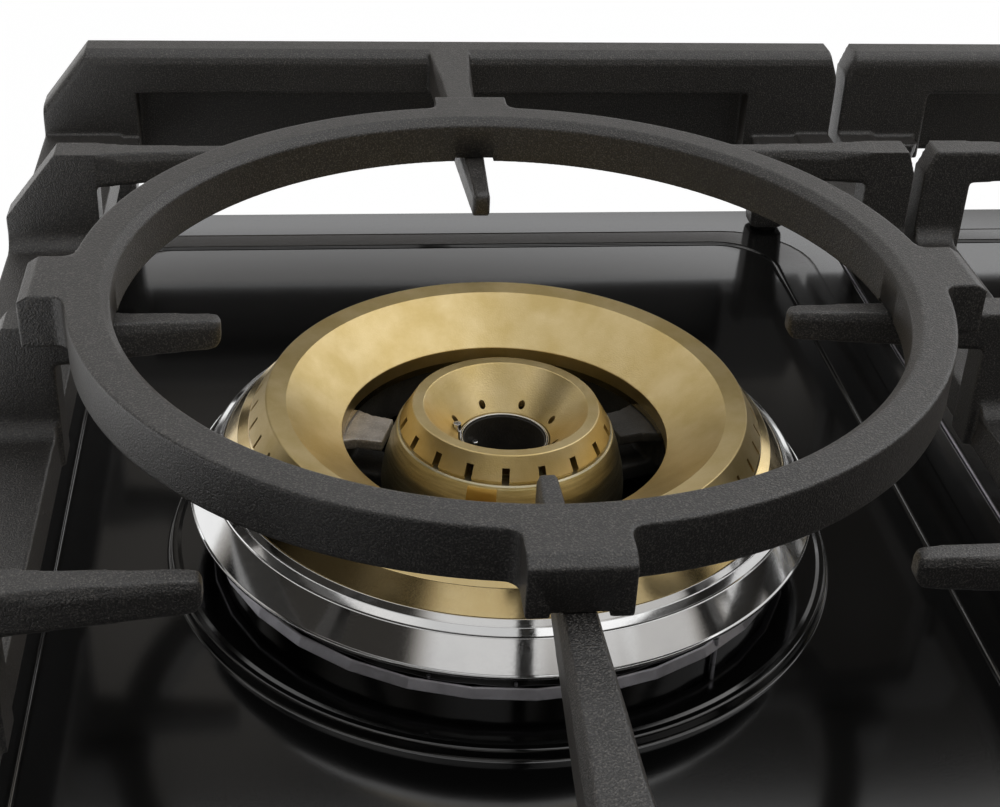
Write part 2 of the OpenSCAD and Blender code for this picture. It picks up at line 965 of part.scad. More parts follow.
module wok_skirt() {
    z0 = flame_under_z;
    r0 = flame_r + clear / 2;
    r1 = r0 + skirt_band[0];
    z1 = flame_edge_z - skirt_band[1];
    r2 = r1 + skirt_step[0];
    z2 = z1 - skirt_step[1];
    color([0.8, 0.8, 0.81])
        at_section(0)
            turned([
                [skirt_seat_r, z0 - skirt_t],
                [skirt_seat_r, z0],
                [r0, z0],
                [r0, flame_edge_z],
                [r0 + clear, flame_edge_z],
                [r1, z1],
                [r2, z2],
                [skirt_r, skirt_edge_z],
                [skirt_r - skirt_t / 2, skirt_edge_z - skirt_t / 2],
                [skirt_r - skirt_t, skirt_edge_z],
                [r2 - skirt_t / 2, z2 - skirt_t],
                [r0, z0 - skirt_t]
            ]);
}

module wok_flame_ring() {
    color([0.8, 0.66, 0.36])
        at_section(0)
            turned([
                [cap_hole_r, flame_under_z],
                [flame_r, flame_under_z],
                [flame_r, flame_edge_z],
                [ledge_r, ledge_z],
                [cap_edge_r, cap_edge_z],
                [cap_edge_r - flame_wall, cap_edge_z],
                [cap_edge_r - flame_wall, flame_floor_z],
                [cap_hole_r, flame_floor_z]
            ]);
}

module wok_outer_cap() {
    color([0.72, 0.58, 0.32])
        at_section(0)
            difference() {
                turned([
                    [cap_hole_r, flame_floor_z],
                    [cap_hole_r, cap_hole_z],
                    [cap_rim_in_r, cap_rim_z - cap_rim_fall],
                    [cap_rim_r, cap_rim_z],
                    [cap_edge_r, cap_edge_z],
                    [cap_edge_r - flame_wall, cap_edge_z],
                    [cap_rim_r - wall, cap_rim_z - wall - cap_rim_fall],
                    [cap_rim_in_r, cap_rim_z - wall - cap_rim_fall],
                    [cap_hole_r + wall, cap_hole_z - cap_rim_fall],
                    [cap_hole_r + wall, flame_floor_z]
                ]);
                for (k = [0:outer_slots - 1])
                    rotate(360 * (k + 1 / 2) / outer_slots)
                        block([cap_rim_r - wall, -slot_w / 2, cap_edge_z - over],
                            [cap_edge_r + over, slot_w / 2, cap_edge_z + slot_h]);
            }
}

// Flared brass body of the inner burner, with its gas chamber
module wok_inner_body() {
    color([0.5, 0.42, 0.22])
        at_section(0)
            union() {
                turned([
                    [inner_bore_r - clear, hub_z + hub_t],
                    [inner_foot_r, hub_z + hub_t],
                    [inner_foot_r, hub_z + hub_t + wall],
                    [inner_edge_r + wall, inner_edge_z - wall],
                    [inner_edge_r + wall / 2, inner_edge_z],
                    [chamber_r, inner_edge_z],
                    [chamber_r, inner_floor_z - wall],
                    [inner_bore_r + wall + clear, inner_floor_z - wall],
                    [inner_bore_r + wall + clear, inner_floor_z],
                    [inner_bore_r - clear, inner_floor_z]
                ]);
            }
}

module wok_inner_cap() {
    color([0.72, 0.58, 0.32])
        at_section(0)
            difference() {
                turned([
                    [inner_bore_r, inner_floor_z],
                    [inner_bore_r, inner_hole_z],
                    [inner_rim_r - inner_rim_w, inner_rim_z],
                    [inner_rim_r, inner_rim_z],
                    [inner_edge_r, inner_edge_z + clear],
                    [inner_edge_r, inner_edge_z],
                    [chamber_r, inner_edge_z],
                    [inner_rim_r - wall, inner_rim_z - wall],
                    [inner_rim_r - inner_rim_w, inner_rim_z - wall],
                    [inner_bore_r + wall, inner_hole_z],
                    [inner_bore_r + wall, inner_floor_z]
                ]);
                for (k = [0:inner_slots - 1])
                    rotate(inner_slot_turn + 360 * k / inner_slots)
                        block([inner_rim_r - wall, -inner_slot_w / 2, inner_edge_z - over],
                            [inner_edge_r + over, inner_slot_w / 2, inner_edge_z + inner_slot_h]);
                for (k = [0:inner_holes - 1])
                    rotate(360 * (k + 1 / 2) / inner_holes)
                        translate([inner_hole_ring, 0, inner_hole_z - over])
                            cylinder(r = inner_hole_r, h = cap_hole_r);
            }
}

module wok_bore_ring() {
    color([0.75, 0.75, 0.76])
        at_section(0)
            tube(inner_bore_r - clear, inner_bore_r - clear - bore_ring_t,
                inner_floor_z - bore_ring_seat, inner_hole_z + bore_ring_rise);
}

// Base of small burner k: flange on the plateau, cup below and wall above
module small_base(k) {
    r = small_r[k];
    cup_top = plateau_z + small_cup_z - small_skirt_t;
    difference() {
        union() {
            translate([0, 0, plateau_z])
                cylinder(r = r + small_flange_grow, h = small_flange_t);
            translate([0, 0, plateau_z])
                cylinder(r = r - small_hole_cut, h = cup_top - plateau_z);
            translate([0, 0, cup_z])
                cylinder(r = cup_r, h = plateau_z - cup_z + over);
            rotate(k == 1 ? -90 : 180)
                pipe_boss();
        }
        translate([0, 0, cup_z + cup_wall])
            cylinder(r = cup_r - cup_wall, h = cup_top - cup_z);
        translate([0, 0, plateau_z + small_flange_t])
            cylinder(r = r - small_hole_cut - wall, h = cup_top);
    }
}

module burner_bases() {
    color([0.1, 0.1, 0.1])
        for (k = [0:3])
            at_small(k)
                small_base(k);
}

module small_skirt(k) {
    r = small_r[k];
    top = plateau_z + small_cup_z;
    low = plateau_z + small_flange_t;
    difference() {
        turned([
            [r - small_hole_cut - wall, top - small_skirt_t],
            [r - small_hole_cut - wall, top],
            [r + small_skirt_top, top],
            [r + small_skirt_grow, low],
            [r + small_skirt_grow - small_skirt_t, low],
            [r + small_skirt_top - small_skirt_t / 2, top - small_skirt_t]
        ]);
        lead_holes(k);
    }
}

module burner_skirts() {
    color([0.8, 0.8, 0.81])
        for (k = [0:3])
            at_small(k)
                small_skirt(k);
}

// Brass crown of small burner k, with slots along its upper edge
module small_head(k) {
    r = small_r[k];
    low = plateau_z + small_cup_z;
    bore = r - small_bore_cut;
    color([0.72, 0.58, 0.32])
        at_small(k)
            difference() {
                union() {
                    translate([0, 0, low])
                        cylinder(r = r, h = small_head_h);
                    translate([0, 0, low - small_spigot])
                        cylinder(r = r - small_hole_cut - wall - clear, h = small_spigot + over);
                }
                translate([0, 0, low - small_spigot - over])
                    cylinder(r = bore / 2, h = small_head_h + small_spigot + 2 * over);
                translate([0, 0, low + small_head_floor])
                    cylinder(r = r - small_head_wall, h = small_head_h);
                for (a = [0:small_slot_step:360 - small_slot_step])
                    rotate(a)
                        block([bore / 2, -small_slot_w / 2, low + small_head_h - small_slot_h],
                            [r + over, small_slot_w / 2, low + small_head_h + over]);
            }
}

// Brass cap with a shallow dish, and a spigot that centres it in the crown
module small_cap(k) {
    r = small_r[k];
    low = plateau_z + small_cup_z + small_head_h;
    color([0.72, 0.58, 0.32])
        at_small(k)
            turned([
                [0, low - wall],
                [r - small_head_wall - clear, low - wall],
                [r - small_head_wall - clear, low],
                [r + small_cap_over, low],
                [r + small_cap_over, low + wall / 2],
                [r - small_cap_rim / 2, low + small_cap_h],
                [r - small_cap_rim / 2 - small_cap_rim, low + small_cap_h],
                [bore_of(k), low + small_cap_h - small_cap_dish],
                [0, low + small_cap_h - small_cap_dish]
            ]);
}

function bore_of(k) = (small_r[k] - small_bore_cut) / 2;

module centre_rear_head() { small_head(0); }
module centre_front_head() { small_head(1); }
module right_rear_head() { small_head(2); }
module right_front_head() { small_head(3); }
module centre_rear_cap() { small_cap(0); }
module centre_front_cap() { small_cap(1); }
module right_rear_cap() { small_cap(2); }
module right_front_cap() { small_cap(3); }

module igniters() {
    color([0.85, 0.84, 0.8]) {
        for (k = [0:3])
            at_small(k)
                rotate(lead_angles[0])
                    translate([small_r[k] + lead_grow, 0, -rod_below]) {
                        cylinder(r = rod_r, h = rod_top + rod_below);
                        cylinder(r = tip_r, h = rod_top + rod_below + tip_h);
                    }
        at_section(0)
            rotate(wok_lead_turn)
                translate([wok_lead_at, 0, -wok_lead_base])
                    cylinder(r = wok_lead_r, h = wok_lead_base + inner_hole_z + wall);
    }
}

module thermocouples() {
    color([0.7, 0.68, 0.64]) {
        for (k = [0:3])
            at_small(k)
                rotate(lead_angles[1])
                    translate([small_r[k] + lead_grow, 0, -rod_below])
                        cylinder(r = sense_r, h = sense_top + rod_below);
        at_section(0)
            rotate(wok_lead_turn + 180)
                translate([wok_lead_at, 0, -wok_lead_base])
                    cylinder(r = wok_lead_r, h = wok_lead_base + inner_floor_z);
    }
}

module jet() {
    difference() {
        translate([0, 0, cup_z + cup_wall])
            cylinder(r = jet_r, h = jet_h, $fn = 6);
        translate([0, 0, cup_z])
            cylinder(r = jet_bore_r, h = jet_h + cup_wall + over);
    }
}

module injectors() {
    color([0.78, 0.62, 0.3]) {
        for (k = [0:3])
            at_small(k)
                jet();
        for (at = [inner_cup, outer_cup])
            at_section(0)
                translate(at)
                    jet();
    }
}

// Pipe from the valve's outlet along Y, round a bend and along X to its burner
module bent_pipe(x0, y1, x1) {
    y0 = knob_y + valve_d / 2 + valve_boss_l;
    s = x1 > x0 ? 1 : -1;
    translate([x0, y1 - pipe_bend, rim_h + pipe_z])
        rotate([90, 0, 0])
            tube(pipe_r, pipe_r - pipe_wall, 0, y1 - pipe_bend - y0);
    translate([x0 + s * pipe_bend, y1 - pipe_bend, rim_h + pipe_z])
        rotate(s > 0 ? 90 : 0)
            rotate_extrude(angle = 90)
                translate([pipe_bend, 0])
                    difference() {
                        circle(pipe_r);
                        circle(pipe_r - pipe_wall);
                    }
    translate([min(x0 + s * pipe_bend, x1), y1, rim_h + pipe_z])
        rotate([0, 90, 0])
            tube(pipe_r, pipe_r - pipe_wall, 0, abs(x1 - x0) - pipe_bend);
}

module straight_pipe(x0, y1) {
    y0 = knob_y + valve_d / 2 + valve_boss_l;
    translate([x0, y1, rim_h + pipe_z])
        rotate([90, 0, 0])
            tube(pipe_r, pipe_r - pipe_wall, 0, y1 - y0);
}

module gas_pipes() {
    end = cup_r + boss_l;
    color([0.72, 0.72, 0.74]) {
        bent_pipe(knob_x[0] + twin_pitch, burner_y + outer_cup[1], section_x[0] + outer_cup[0] + end);
        bent_pipe(knob_x[0] - twin_pitch, burner_y + inner_cup[1], section_x[0] + inner_cup[0] + end);
        bent_pipe(knob_x[1], burner_y + pair_y, -end);
        straight_pipe(knob_x[2], burner_y - pair_y - end);
        bent_pipe(knob_x[3], burner_y + pair_y, pitch - end);
        bent_pipe(knob_x[4], burner_y - pair_y, pitch - end);
    }
}

// Valve with a saddle on the manifold and outlets at the back
module valve(k) {
    outlets = k == 0 ? [-twin_pitch, twin_pitch] : [0];
    saddle_y = valve_d / 2 + nipple_l + manifold_r;
    difference() {
        union() {
            block([-valve_w / 2, -valve_d / 2, valve_top - valve_h], [valve_w / 2, valve_d / 2, valve_top]);
            translate([0, saddle_y - manifold_r / 2, manifold_z])
                rotate([90, 0, 0])
                    cylinder(r = nipple_r, h = nipple_l + manifold_r);
            for (x = outlets)
                translate([x, valve_d / 2 + valve_boss_l, pipe_z])
                    rotate([90, 0, 0])
                        cylinder(r = boss_r, h = valve_boss_l + over);
        }
        translate([0, 0, spindle_low - push_travel - clear])
            cylinder(r = spindle_r + running, h = rim_h);
        translate([-valve_w, saddle_y, manifold_z])
            rotate([0, 90, 0])
                cylinder(r = manifold_r, h = 2 * valve_w);
    }
}

module gas_valves() {
    color([0.7, 0.56, 0.3])
        for (k = [0:4])
            at_knob(k)
                valve(k);
}

// Front run along X and side run along Y to the rear wall
module gas_manifold() {
    y0 = knob_y + valve_d / 2 + nipple_l + manifold_r;
    x1 = box_half_w - manifold_side;
    color([0.66, 0.66, 0.68])
        translate([0, 0, rim_h + manifold_z]) {
            translate([knob_x[0] - manifold_end, y0, 0])
                rotate([0, 90, 0])
                    tube(manifold_r, manifold_r - manifold_wall, 0,
                        x1 - manifold_r - manifold_end / 2 - knob_x[0] + manifold_end);
            translate([knob_x[0] - manifold_end - wall, y0, 0])
                rotate([0, 90, 0])
                    cylinder(r = manifold_r, h = wall);
            translate([x1 - manifold_r - manifold_end / 2, y0 + manifold_r + manifold_end / 2, 0])
                rotate(-90)
                    rotate_extrude(angle = 90)
                        translate([manifold_r + manifold_end / 2, 0])
                            difference() {
                                circle(manifold_r);
                                circle(manifold_r - manifold_wall);
                            }
            translate([x1, box_y1 - box_t - inlet_hex_l / 2, 0])
                rotate([90, 0, 0])
                    tube(manifold_r, manifold_r - manifold_wall, 0,
                        box_y1 - box_t - inlet_hex_l / 2 - y0 - manifold_r - manifold_end / 2);
        }
}

// Threaded inlet that stands out of the rear wall
module gas_inlet() {
    x1 = box_half_w - manifold_side;
    z = rim_h + manifold_z;
    color([0.74, 0.6, 0.32])
        translate([x1, box_y1, z])
            rotate([-90, 0, 0])
                difference() {
                    union() {
                        cylinder(r = inlet_r, h = inlet_l + wall);
                        cylinder(r = inlet_hex_r, h = wall, $fn = 6);
                        translate([0, 0, -box_t - inlet_hex_l / 2])
                            cylinder(r = manifold_r - clear, h = box_t + inlet_hex_l / 2 + over);
                    }
                    cylinder(r = inlet_bore_r, h = 2 * through, center = true);
                }
}

module ignition_module() {
    color([0.2, 0.2, 0.22])
        translate([-box_half_w + module_side, box_y0 + module_front, box_t])
            cube(module_size);
}

// Mains terminal box with a gland through the rear wall
module terminal_block() {
    y1 = box_y1 - box_t;
    mid_z = box_t + terminal_size[2] / 2;
    color([0.25, 0.25, 0.27])
        difference() {
            union() {
                block([terminal_x - terminal_size[0] / 2, y1 - terminal_size[1], box_t],
                    [terminal_x + terminal_size[0] / 2, y1, box_t + terminal_size[2]]);
                translate([terminal_x, y1 - over, mid_z])
                    rotate([-90, 0, 0])
                        cylinder(r = gland_r, h = gland_l + over);
            }
            translate([terminal_x, y1 - gland_l, mid_z])
                rotate([-90, 0, 0])
                    cylinder(r = gland_r - cup_wall - over, h = 2 * gland_l + over);
        }
}

// Brackets on the side walls, whose jaws grip under the worktop
module clamp_brackets() {
    color([0.6, 0.6, 0.62])
        for (s = [0, 1], y = clamp_y)
            mirror([s, 0, 0])
                translate([box_half_w, y, clamp_low])
                    difference() {
                        union() {
                            block([0, -clamp_w / 2, 0], [clamp_t, clamp_w / 2, clamp_h]);
                            block([0, -clamp_w / 2, 0], [clamp_reach, clamp_w / 2, clamp_t]);
                        }
                        translate([clamp_t / 2, 0, clamp_hole])
                            rotate([0, 90, 0])
                                cylinder(r = screw_r, h = clamp_t + 2 * over, center = true);
                    }
}

module clamp_screws() {
    color([0.75, 0.75, 0.76])
        for (s = [0, 1], y = clamp_y)
            mirror([s, 0, 0])
                translate([box_half_w + clamp_t, y, clamp_low + clamp_hole])
                    rotate([0, 90, 0]) {
                        cylinder(r = screw_head_r, h = screw_head_h);
                        translate([0, 0, -screw_l])
                            cylinder(r = screw_r, h = screw_l + over);
                    }
}

module knob_bezels() {
    color([0.72, 0.58, 0.32])
        for (k = [0:4])
            at_knob(k)
                turned([
                    [knob_r + bezel_grow - bezel_w, 0],
                    [knob_r + bezel_grow, 0],
                    [knob_r + bezel_grow, bezel_t / 2],
                    [knob_r + bezel_grow - bezel_t / 2, bezel_t],
                    [knob_r + bezel_grow - bezel_w, bezel_t]
                ]);
}

// Hollow knob with a hub on the spindle and a pointer groove
module knob(k) {
    top = knob_gap + knob_h;
    color([0.08, 0.08, 0.085])
        at_knob(k)
            difference() {
                turned([
                    [spindle_r, knob_gap],
                    [spindle_r + hub_wall, knob_gap],
                    [spindle_r + hub_wall, top - knob_top_t],
                    [knob_r - knob_wall - knob_taper, top - knob_top_t],
                    [knob_r - knob_wall, knob_gap],
                    [knob_r + knob_skirt_grow, knob_gap],
                    [knob_r + knob_skirt_grow, knob_gap + knob_skirt_h / 2],
                    [knob_r, knob_gap + knob_skirt_h],
                    [knob_r - knob_taper, top - knob_taper / 2],
                    [knob_r - knob_taper - knob_taper / 2, top],
                    [0, top],
                    [0, spindle_high],
                    [spindle_r, spindle_high]
                ]);
                block([-mark_w / 2, knob_r - knob_taper - mark_l, top - mark_d],
                    [mark_w / 2, knob_r + over, top + over]);
            }
}

module spindle(k) {
    color([0.7, 0.7, 0.72])
        at_knob(k)
            translate([0, 0, spindle_low])
                cylinder(r = spindle_r, h = spindle_high - spindle_low);
}

// Collar that the valve's return spring presses up; it slides but doesn't turn
module push_collar(k) {
    color([0.65, 0.65, 0.68])
        at_knob(k)
            tube(collar_r, spindle_r + running, collar_z, collar_z + collar_h);
}

module wok_knob() { knob(0); }
module centre_rear_knob() { knob(1); }
module centre_front_knob() { knob(2); }
module right_rear_knob() { knob(3); }
module right_front_knob() { knob(4); }
module wok_spindle() { spindle(0); }
module centre_rear_spindle() { spindle(1); }
module centre_front_spindle() { spindle(2); }
module right_rear_spindle() { spindle(3); }
module right_front_spindle() { spindle(4); }
module wok_push_collar() { push_collar(0); }
module centre_rear_push_collar() { push_collar(1); }
module centre_front_push_collar() { push_collar(2); }
module right_rear_push_collar() { push_collar(3); }
module right_front_push_collar() { push_collar(4); }

base_box();
left_tray();
centre_tray();
right_tray();
control_panel();
joint_strips();
edge_seal();
wok_base();
wok_heat_plate();
burner_bases();
burner_skirts();
igniters();
thermocouples();
injectors();
gas_manifold();
gas_valves();
gas_pipes();
gas_inlet();
ignition_module();
terminal_block();
clamp_brackets();
clamp_screws();
knob_bezels();
left_grate();
left_grate_feet();
centre_grate();
centre_grate_feet();
right_grate();
right_grate_feet();
wok_ring();
wok_head();
wok_skirt();
wok_flame_ring();
wok_inner_body();
wok_bore_ring();
wok_outer_cap();
wok_inner_cap();
centre_rear_head();
centre_rear_cap();
centre_front_head();
centre_front_cap();
right_rear_head();
right_rear_cap();
right_front_head();
right_front_cap();
wok_knob();
wok_spindle();
wok_push_collar();
centre_rear_knob();
centre_rear_spindle();
centre_rear_push_collar();
centre_front_knob();
centre_front_spindle();
centre_front_push_collar();
right_rear_knob();
right_rear_spindle();
right_rear_push_collar();
right_front_knob();
right_front_spindle();
right_front_push_collar();
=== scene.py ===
import json
import math

import bmesh
import bpy
from mathutils import Matrix, Vector


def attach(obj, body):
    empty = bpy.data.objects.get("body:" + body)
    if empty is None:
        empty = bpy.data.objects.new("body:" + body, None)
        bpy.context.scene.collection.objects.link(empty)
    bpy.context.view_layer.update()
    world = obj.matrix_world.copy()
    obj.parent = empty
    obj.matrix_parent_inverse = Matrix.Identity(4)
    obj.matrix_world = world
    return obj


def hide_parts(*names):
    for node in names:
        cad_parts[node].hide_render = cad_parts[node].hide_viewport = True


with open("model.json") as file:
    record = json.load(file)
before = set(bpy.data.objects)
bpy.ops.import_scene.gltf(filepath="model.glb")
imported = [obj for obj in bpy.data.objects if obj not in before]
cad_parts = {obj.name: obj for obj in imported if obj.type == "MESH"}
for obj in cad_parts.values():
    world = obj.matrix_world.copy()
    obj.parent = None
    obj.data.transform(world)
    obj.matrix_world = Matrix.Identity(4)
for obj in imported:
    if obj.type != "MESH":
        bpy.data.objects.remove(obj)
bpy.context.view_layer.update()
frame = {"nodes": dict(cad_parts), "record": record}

mm = 0.001
rimHeight = 62.0
burnerY = 47.5
sectionX = {"left": -298.0, "centre": 0.0, "right": 298.0}
wokPlace = (sectionX["left"], burnerY, rimHeight)
smallBurners = {
    "centre_rear": {"at": (0.0, 159.0), "radius": 40.0},
    "centre_front": {"at": (0.0, -64.0), "radius": 31.0},
    "right_rear": {"at": (298.0, 159.0), "radius": 31.0},
    "right_front": {"at": (298.0, -64.0), "radius": 24.0},
}

# The camera stands low over the left front corner, as in the photograph
cameraView = {"place": (-351.0, -334.7, 342.2), "yaw": 7.65, "down": 31.65, "roll": 2.86, "lens": 59.77}


def aimCamera(view):
    yaw, down, roll = (math.radians(view[key]) for key in ("yaw", "down", "roll"))
    forward = Vector((math.sin(yaw) * math.cos(down), math.cos(yaw) * math.cos(down), -math.sin(down)))
    right = Vector((math.cos(yaw), -math.sin(yaw), 0))
    up = right.cross(forward)
    imageRight = math.cos(roll) * right + math.sin(roll) * up
    imageUp = -math.sin(roll) * right + math.cos(roll) * up
    eye = bpy.data.cameras.new("photoCamera")
    eye.lens = view["lens"]
    eye.sensor_width = 36
    eye.sensor_fit = "HORIZONTAL"
    eye.clip_start = 0.01
    stand = bpy.data.objects.new("photoCamera", eye)
    bpy.context.scene.collection.objects.link(stand)
    turn = Matrix((imageRight, imageUp, -forward)).transposed()
    stand.matrix_world = Matrix.Translation(Vector(view["place"]) * mm) @ turn.to_4x4()
    bpy.context.scene.camera = stand


aimCamera(cameraView)
print("camera placed")


# shape helpers are plain functions on a bmesh in millimetres


# A point on a circle about the upright axis, by its radius and its angle in degrees
def onCircle(r, angle):
    return r * math.cos(math.radians(angle)), r * math.sin(math.radians(angle))


# Rounds the corners of a profile; each corner is (across, up, radius)
def softLine(corners, closed=True, steps=4):
    line = []
    last = len(corners) - 1
    for i, (across, up, radius) in enumerate(corners):
        here = Vector((across, up))
        if radius == 0 or (not closed and i in (0, last)):
            line.append(here)
            continue
        before = Vector(corners[i - 1][:2]) - here
        after = Vector(corners[(i + 1) % len(corners)][:2]) - here
        reach = radius / math.tan(before.angle(after) / 2)
        reach = min(reach, before.length * 0.45, after.length * 0.45)
        start = here + before.normalized() * reach
        end = here + after.normalized() * reach
        for k in range(steps + 1):
            t = k / steps
            line.append((1 - t) ** 2 * start + 2 * t * (1 - t) * here + t ** 2 * end)
    return line


# Turns a profile of (radius, height) about the upright axis
def turnProfile(bm, line, rounds=180, closed=True, at=(0, 0)):
    rings = []
    for k in range(rounds):
        a = 2 * math.pi * k / rounds
        rings.append([bm.verts.new((at[0] + p.x * math.cos(a), at[1] + p.x * math.sin(a), p.y)) for p in line])
    spans = len(line) if closed else len(line) - 1
    for k in range(rounds):
        near, far = rings[k], rings[(k + 1) % rounds]
        for j in range(spans):
            up = (j + 1) % len(line)
            bm.faces.new((near[j], far[j], far[up], near[up]))


# Joins loops of equal length, each with the one after it and, where they go all the way round, the last with the first
def skinLoops(bm, loops, allRound=False):
    made = [[bm.verts.new(p) for p in loop] for loop in loops]
    for near, far in zip(made, made[1:] + made[:1] if allRound else made[1:]):
        for j in range(len(near)):
            after = (j + 1) % len(near)
            bm.faces.new((near[j], near[after], far[after], far[j]))
    return made


def loopEdges(bm, loop):
    return [bm.edges.get((loop[j], loop[(j + 1) % len(loop)])) for j in range(len(loop))]


# Skins rings of equal length into a closed solid, turned about the upright axis by an angle in degrees
def loft(bm, rings, turnBy=0):
    made = skinLoops(bm, rings)
    bm.faces.new(list(reversed(made[0])))
    bm.faces.new(made[-1])
    if turnBy:
        points = [v for ring in made for v in ring]
        bmesh.ops.rotate(bm, verts=points, cent=(0, 0, 0), matrix=Matrix.Rotation(math.radians(turnBy), 3, "Z"))


# An outline drawn across one axis and drawn out along it; outline points are the other two axes in order
def prism(bm, axis, outline, start, stop, turnBy=0):
    spots = {"x": lambda p, q, s: (s, p, q), "y": lambda p, q, s: (p, s, q), "z": lambda p, q, s: (p, q, s)}[axis]
    loft(bm, [[spots(p, q, s) for p, q in outline] for s in (start, stop)], turnBy)


def block(bm, low, high, turnBy=0):
    outline = [(low[0], low[1]), (high[0], low[1]), (high[0], high[1]), (low[0], high[1])]
    prism(bm, "z", outline, low[2], high[2], turnBy)


# A loop of points round a rectangle with rounded corners; every loop has the same count, so loops can be skinned
def roundedLoop(x0, x1, y0, y1, radii, steps=8):
    centres = ((x1, y1, -1, -1), (x0, y1, 1, -1), (x0, y0, 1, 1), (x1, y0, -1, 1))
    loop = []
    for corner, (x, y, sx, sy) in enumerate(centres):
        r = radii[corner]
        for k in range(steps + 1):
            a = math.radians(90 * corner + 90 * k / steps)
            loop.append((x + sx * r + r * math.cos(a), y + sy * r + r * math.sin(a)))
    return loop


# Turns a bmesh in millimetres into an object in metres, moved to its place in the model
def makeObject(name, bm, place=(0, 0, rimHeight)):
    bmesh.ops.remove_doubles(bm, verts=bm.verts, dist=0.001)
    bmesh.ops.recalc_face_normals(bm, faces=bm.faces)
    bmesh.ops.transform(bm, matrix=Matrix.Translation(Vector(place) * mm) @ Matrix.Scale(mm, 4), verts=bm.verts)
    mesh = bpy.data.meshes.new(name)
    bm.to_mesh(mesh)
    bm.free()
    shape = bpy.data.objects.new(name, mesh)
    bpy.context.scene.collection.objects.link(shape)
    return shape


# Replaces an object's mesh by what its modifiers make of it
def settle(shape):
    graph = bpy.context.evaluated_depsgraph_get()
    made = bpy.data.meshes.new_from_object(shape.evaluated_get(graph))
    old = shape.data
    shape.modifiers.clear()
    shape.data = made
    bpy.data.meshes.remove(old)


# Cuts one shape out of another
def carve(shape, tool):
    cut = shape.modifiers.new("carve", "BOOLEAN")
    cut.operation = "DIFFERENCE"
    cut.solver = "EXACT"
    cut.object = tool
    settle(shape)
    bpy.data.objects.remove(tool)


# Melts overlapping solids into one sand-cast skin with soft edges and inner corners: grain is the size of the melt,
# share the part of the faces that stays, and a tool cuts the skin before it is softened
def castSkin(shape, grain, softenings, share, tool=None):
    melt = shape.modifiers.new("melt", "REMESH")
    melt.mode = "VOXEL"
    melt.voxel_size = grain * mm
    if tool is not None:
        settle(shape)
        carve(shape, tool)
    soften = shape.modifiers.new("soften", "SMOOTH")
    soften.factor = 0.5
    soften.iterations = softenings
    thin = shape.modifiers.new("thin", "DECIMATE")
    thin.ratio = share
    settle(shape)


# Gives a shape its shading, body, slot and finish
def dress(shape, body, slotName, nodes=(), sharp=35, weighted=True):
    mesh = shape.data
    mesh.polygons.foreach_set("use_smooth", [True] * len(mesh.polygons))
    if sharp:
        mesh.set_sharp_from_angle(angle=math.radians(sharp))
    if weighted:
        weigh = shape.modifiers.new("weigh", "WEIGHTED_NORMAL")
        weigh.keep_sharp = True
    mesh.materials.clear()
    mesh.materials.append(finishes[slotName])
    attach(shape, body)
    if nodes:
        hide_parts(*nodes)
    return shape


# finishes, one for each material slot


def addNode(tree, kind, inputs=None, **settings):
    node = tree.nodes.new("ShaderNode" + kind)
    for key, value in settings.items():
        setattr(node, key, value)
    for key, value in (inputs or {}).items():
        if isinstance(value, bpy.types.NodeSocket):
            tree.links.new(value, node.inputs[key])
        else:
            node.inputs[key].default_value = value
    return node


# Noise whose features are about size millimetres across
def grainNode(tree, where, size, detail=3.0, rough=0.55):
    return addNode(tree, "TexNoise", {"Vector": where, "Scale": 1 / (size * mm), "Detail": detail, "Roughness": rough})


def rampNode(tree, value, low, high, toLow, toHigh):
    return addNode(tree, "MapRange",
                   {"Value": value, "From Min": low, "From Max": high, "To Min": toLow, "To Max": toHigh})


def mixColour(tree, share, first, second):
    mix = addNode(tree, "Mix", data_type="RGBA")
    tree.links.new(share, mix.inputs["Factor"])
    for place, colour in ((6, first), (7, second)):
        if isinstance(colour, bpy.types.NodeSocket):
            tree.links.new(colour, mix.inputs[place])
        else:
            mix.inputs[place].default_value = (*colour, 1)
    return mix.outputs[2]


